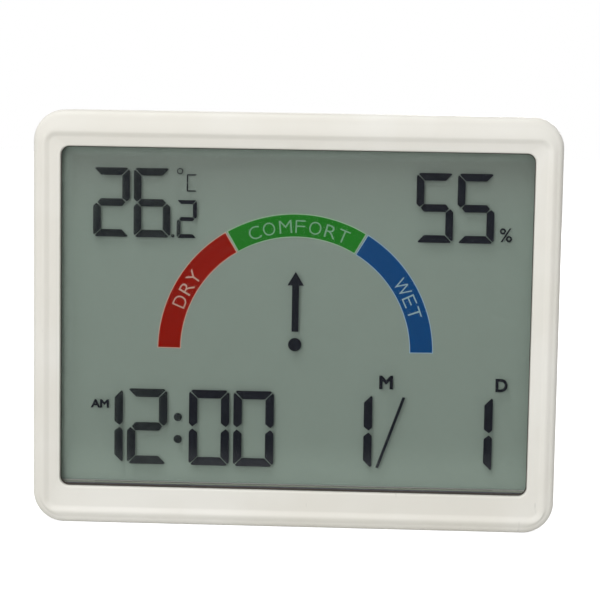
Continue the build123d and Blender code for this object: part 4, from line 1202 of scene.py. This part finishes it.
class MakeBatteries(bpy.types.Operator):
    """Model the two cells with their jackets, rims and caps"""

    bl_idname = "clock.make_batteries"
    bl_label = "Batteries"

    # Sections of the steel can and of the jacket round it, from the flat end to the cap, as
    # shares of the cell's radius and of its length
    can_section = ((0.86, 0.0), (0.93, 0.002), (0.965, 0.007), (0.975, 0.014), (0.975, 0.955),
                   (0.965, 0.966), (0.94, 0.974), (0.86, 0.9772), (0.36, 0.9775),
                   (0.36, 0.99), (0.345, 0.996), (0.31, 1.0))
    jacket_section = ((0.9, 0.001), (0.965, 0.003), (1.0, 0.012), (1.0, 0.957), (0.97, 0.97),
                      (0.9, 0.978), (0.9, 0.975), (0.95, 0.955), (0.95, 0.014), (0.9, 0.005))
    # Length of the copper band at the cap's end of the jacket
    band_length = 12 * MM

    def execute(self, context):
        steel = plated("cell_steel", srgb(196, 197, 196), srgb(128, 126, 120), roughness=0.25)
        jacket = self.jacket_material()
        for node, upward in (("battery_left", 1), ("battery_right", -1)):
            low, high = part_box(node)
            radius = (high.x - low.x) / 2
            centre = ((low.x + high.x) / 2, (low.y + high.y) / 2,
                      low.z if upward > 0 else high.z)
            length = (high.z - low.z) * upward
            can, wrap = ([(radius * share, length * along) for share, along in section]
                         for section in (self.can_section, self.jacket_section))
            body = smooth(turned(f"{node}_can", can, centre, "Z", steps=8))
            settle(body, "case", steel, [node])
            sleeve = smooth(turned(f"{node}_jacket", wrap, centre, "Z", steps=8, ring=True))
            settle(sleeve, "case", jacket)
        return {"FINISHED"}

    def jacket_material(self):
        """Make a plain two-coloured cell jacket."""
        material, tree, shader = new_material("cell_jacket", Roughness=0.32)
        across, _, height = parts(tree, object_place(tree))
        left_low, left_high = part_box("battery_left")
        right_low, right_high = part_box("battery_right")
        at_right = maths(tree, "GREATER_THAN", across, (left_low.x + right_high.x) / 2)
        band_up = maths(tree, "GREATER_THAN", height, left_high.z - self.band_length)
        band_down = maths(tree, "LESS_THAN", height, right_low.z + self.band_length)
        band = add(tree, "ShaderNodeMix", {0: at_right, 2: band_up, 3: band_down}).outputs[0]
        body = inked(tree, srgb(38, 40, 44), srgb(30, 32, 36), amount=0.4)
        feed(tree, shader, {"Base Color": colour_mix(tree, band, body.outputs["Colour"],
                                                     rgba(srgb(176, 122, 62)))})
        return material


class MakeContacts(bpy.types.Operator):
    """Finish the battery contacts, their springs and the leads"""

    bl_idname = "clock.make_contacts"
    bl_label = "Contacts and leads"

    def execute(self, context):
        nickel = plated("contact_nickel", srgb(188, 186, 178), srgb(120, 112, 98))
        dress("positive_contact", nickel)
        for node in ("negative_contact", "link_contact"):
            finish_copy(node, "sprung", "case", nickel, angle=40)
        for node, colour, slot in (("lead_negative", srgb(26, 26, 28), "wire_black"),
                                   ("lead_positive", srgb(178, 34, 30), "wire_red")):
            finish_copy(node, "round", "case",
                        moulded(slot, colour, roughness=0.4, grain=0.1), angle=60)
        return {"FINISHED"}


class MakeScrews(bpy.types.Operator):
    """Model the screws with rounded heads and cross recesses"""

    bl_idname = "clock.make_screws"
    bl_label = "Screws"

    # The head's section: shares of its radius and of its height
    head_section = ((1, 0), (1, 0.45), (0.93, 0.72), (0.74, 0.92), (0.4, 1))
    # One turn of the thread: shares of the shank's radius, and millimetres from the turn's foot
    thread_section = ((1, 0.1), (0.8, 0.4), (1, 0.6))
    tip, pitch, plain = 1.2 * MM, 0.7 * MM, 1.5 * MM
    # The blunt tip's radius, as a share of the shank's, and the cross, whose depth is a share
    # of the head's height
    tip_share = 0.3
    cross_width, cross_length, cross_depth = 0.36 * MM, 1.9 * MM, 0.55

    def execute(self, context):
        for node, size in SCREWS.items():
            seats = self.seats(node, size.height)
            first = self.screw(node, size, *seats[0])
            made = [first]
            for x, y, z, _ in seats[1:]:
                again = first.copy()
                again.data = first.data.copy()
                context.scene.collection.objects.link(again)
                again.location = (x - seats[0][0], y - seats[0][1], z - seats[0][2])
                settle_place(again)
                made.append(again)
            settle(smooth(join(f"{node}_set", made)), "case", zinc_steel(), [node])
        return {"FINISHED"}

    def seats(self, node, height):
        """Give each screw's X, seat depth, Z and the length of its shank, from its mesh."""
        points = [point.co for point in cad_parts[node].data.vertices]
        reach = 2 * MM
        listed = []
        for x, z in screw_places(node):
            own = [p.y for p in points if abs(p.x - x) < reach and abs(p.z - z) < reach]
            listed.append((x, max(own) - height, z, max(own) - height - min(own)))
        return listed

    def screw(self, node, size, x, y, z, length):
        """Turn one screw and cut the cross into its head."""
        section = [(size.shank * self.tip_share, -length),
                   (size.shank, -length + self.tip)]
        for i in range(int((length - self.plain) / self.pitch)):
            foot = -length + self.tip + i * self.pitch
            section += [(size.shank * share, foot + rise * MM)
                        for share, rise in self.thread_section]
        section += [(size.shank, 0)] + [(size.head * share, size.height * rise)
                                        for share, rise in self.head_section]
        piece = turned(f"{node}_one", section, (x, y, z), "Y", steps=4)
        top = (x, y + size.height, z)
        for across, up in ((self.cross_width, self.cross_length),
                           (self.cross_length, self.cross_width)):
            rest()
            bpy.ops.mesh.primitive_cube_add(size=1, location=top)
            tool = bpy.context.object
            open_whole(tool)
            bpy.ops.transform.resize(value=(across, 2 * self.cross_depth * size.height, up),
                                     center_override=top)
            settle_place(tool)
            cut(piece, tool)
        return piece


OPERATORS = (MakeStage, MakeFrontFrame, DressBack, MakeDisplay, MakeZones, MakeLettering,
             MakeButtons, DressInside, MakeBatteries, MakeContacts, MakeScrews)
GROUPS = {"clock_stage": StageSettings, "clock_case": CaseSettings,
          "clock_display": DisplaySettings}


class ClockPanel(bpy.types.Panel):
    """List the pieces and their settings in the sidebar"""

    bl_idname = "VIEW3D_PT_clock"
    bl_label = "Clock"
    bl_space_type = "VIEW_3D"
    bl_region_type = "UI"
    bl_category = "Clock"

    def draw(self, context):
        column = self.layout.column()
        for operator in OPERATORS:
            column.operator(operator.bl_idname)
        for name, kind in GROUPS.items():
            column.separator()
            group_settings = getattr(context.scene, name)
            for key in kind.__annotations__:
                column.prop(group_settings, key)


CLASSES = (*GROUPS.values(), *OPERATORS, ClockPanel)


def register():
    """Register the classes and attach the settings to the scene."""
    for kind in CLASSES:
        bpy.utils.register_class(kind)
    for name, kind in GROUPS.items():
        setattr(bpy.types.Scene, name, PointerProperty(type=kind))


def unregister():
    """Take the settings and the classes away again."""
    for name in GROUPS:
        delattr(bpy.types.Scene, name)
    for kind in reversed(CLASSES):
        bpy.utils.unregister_class(kind)


def main():
    """Build the whole scene."""
    register()
    for operator in OPERATORS:
        group_name, name = operator.bl_idname.split(".")
        getattr(getattr(bpy.ops, group_name), name)()


if __name__ == "__main__":
    main()
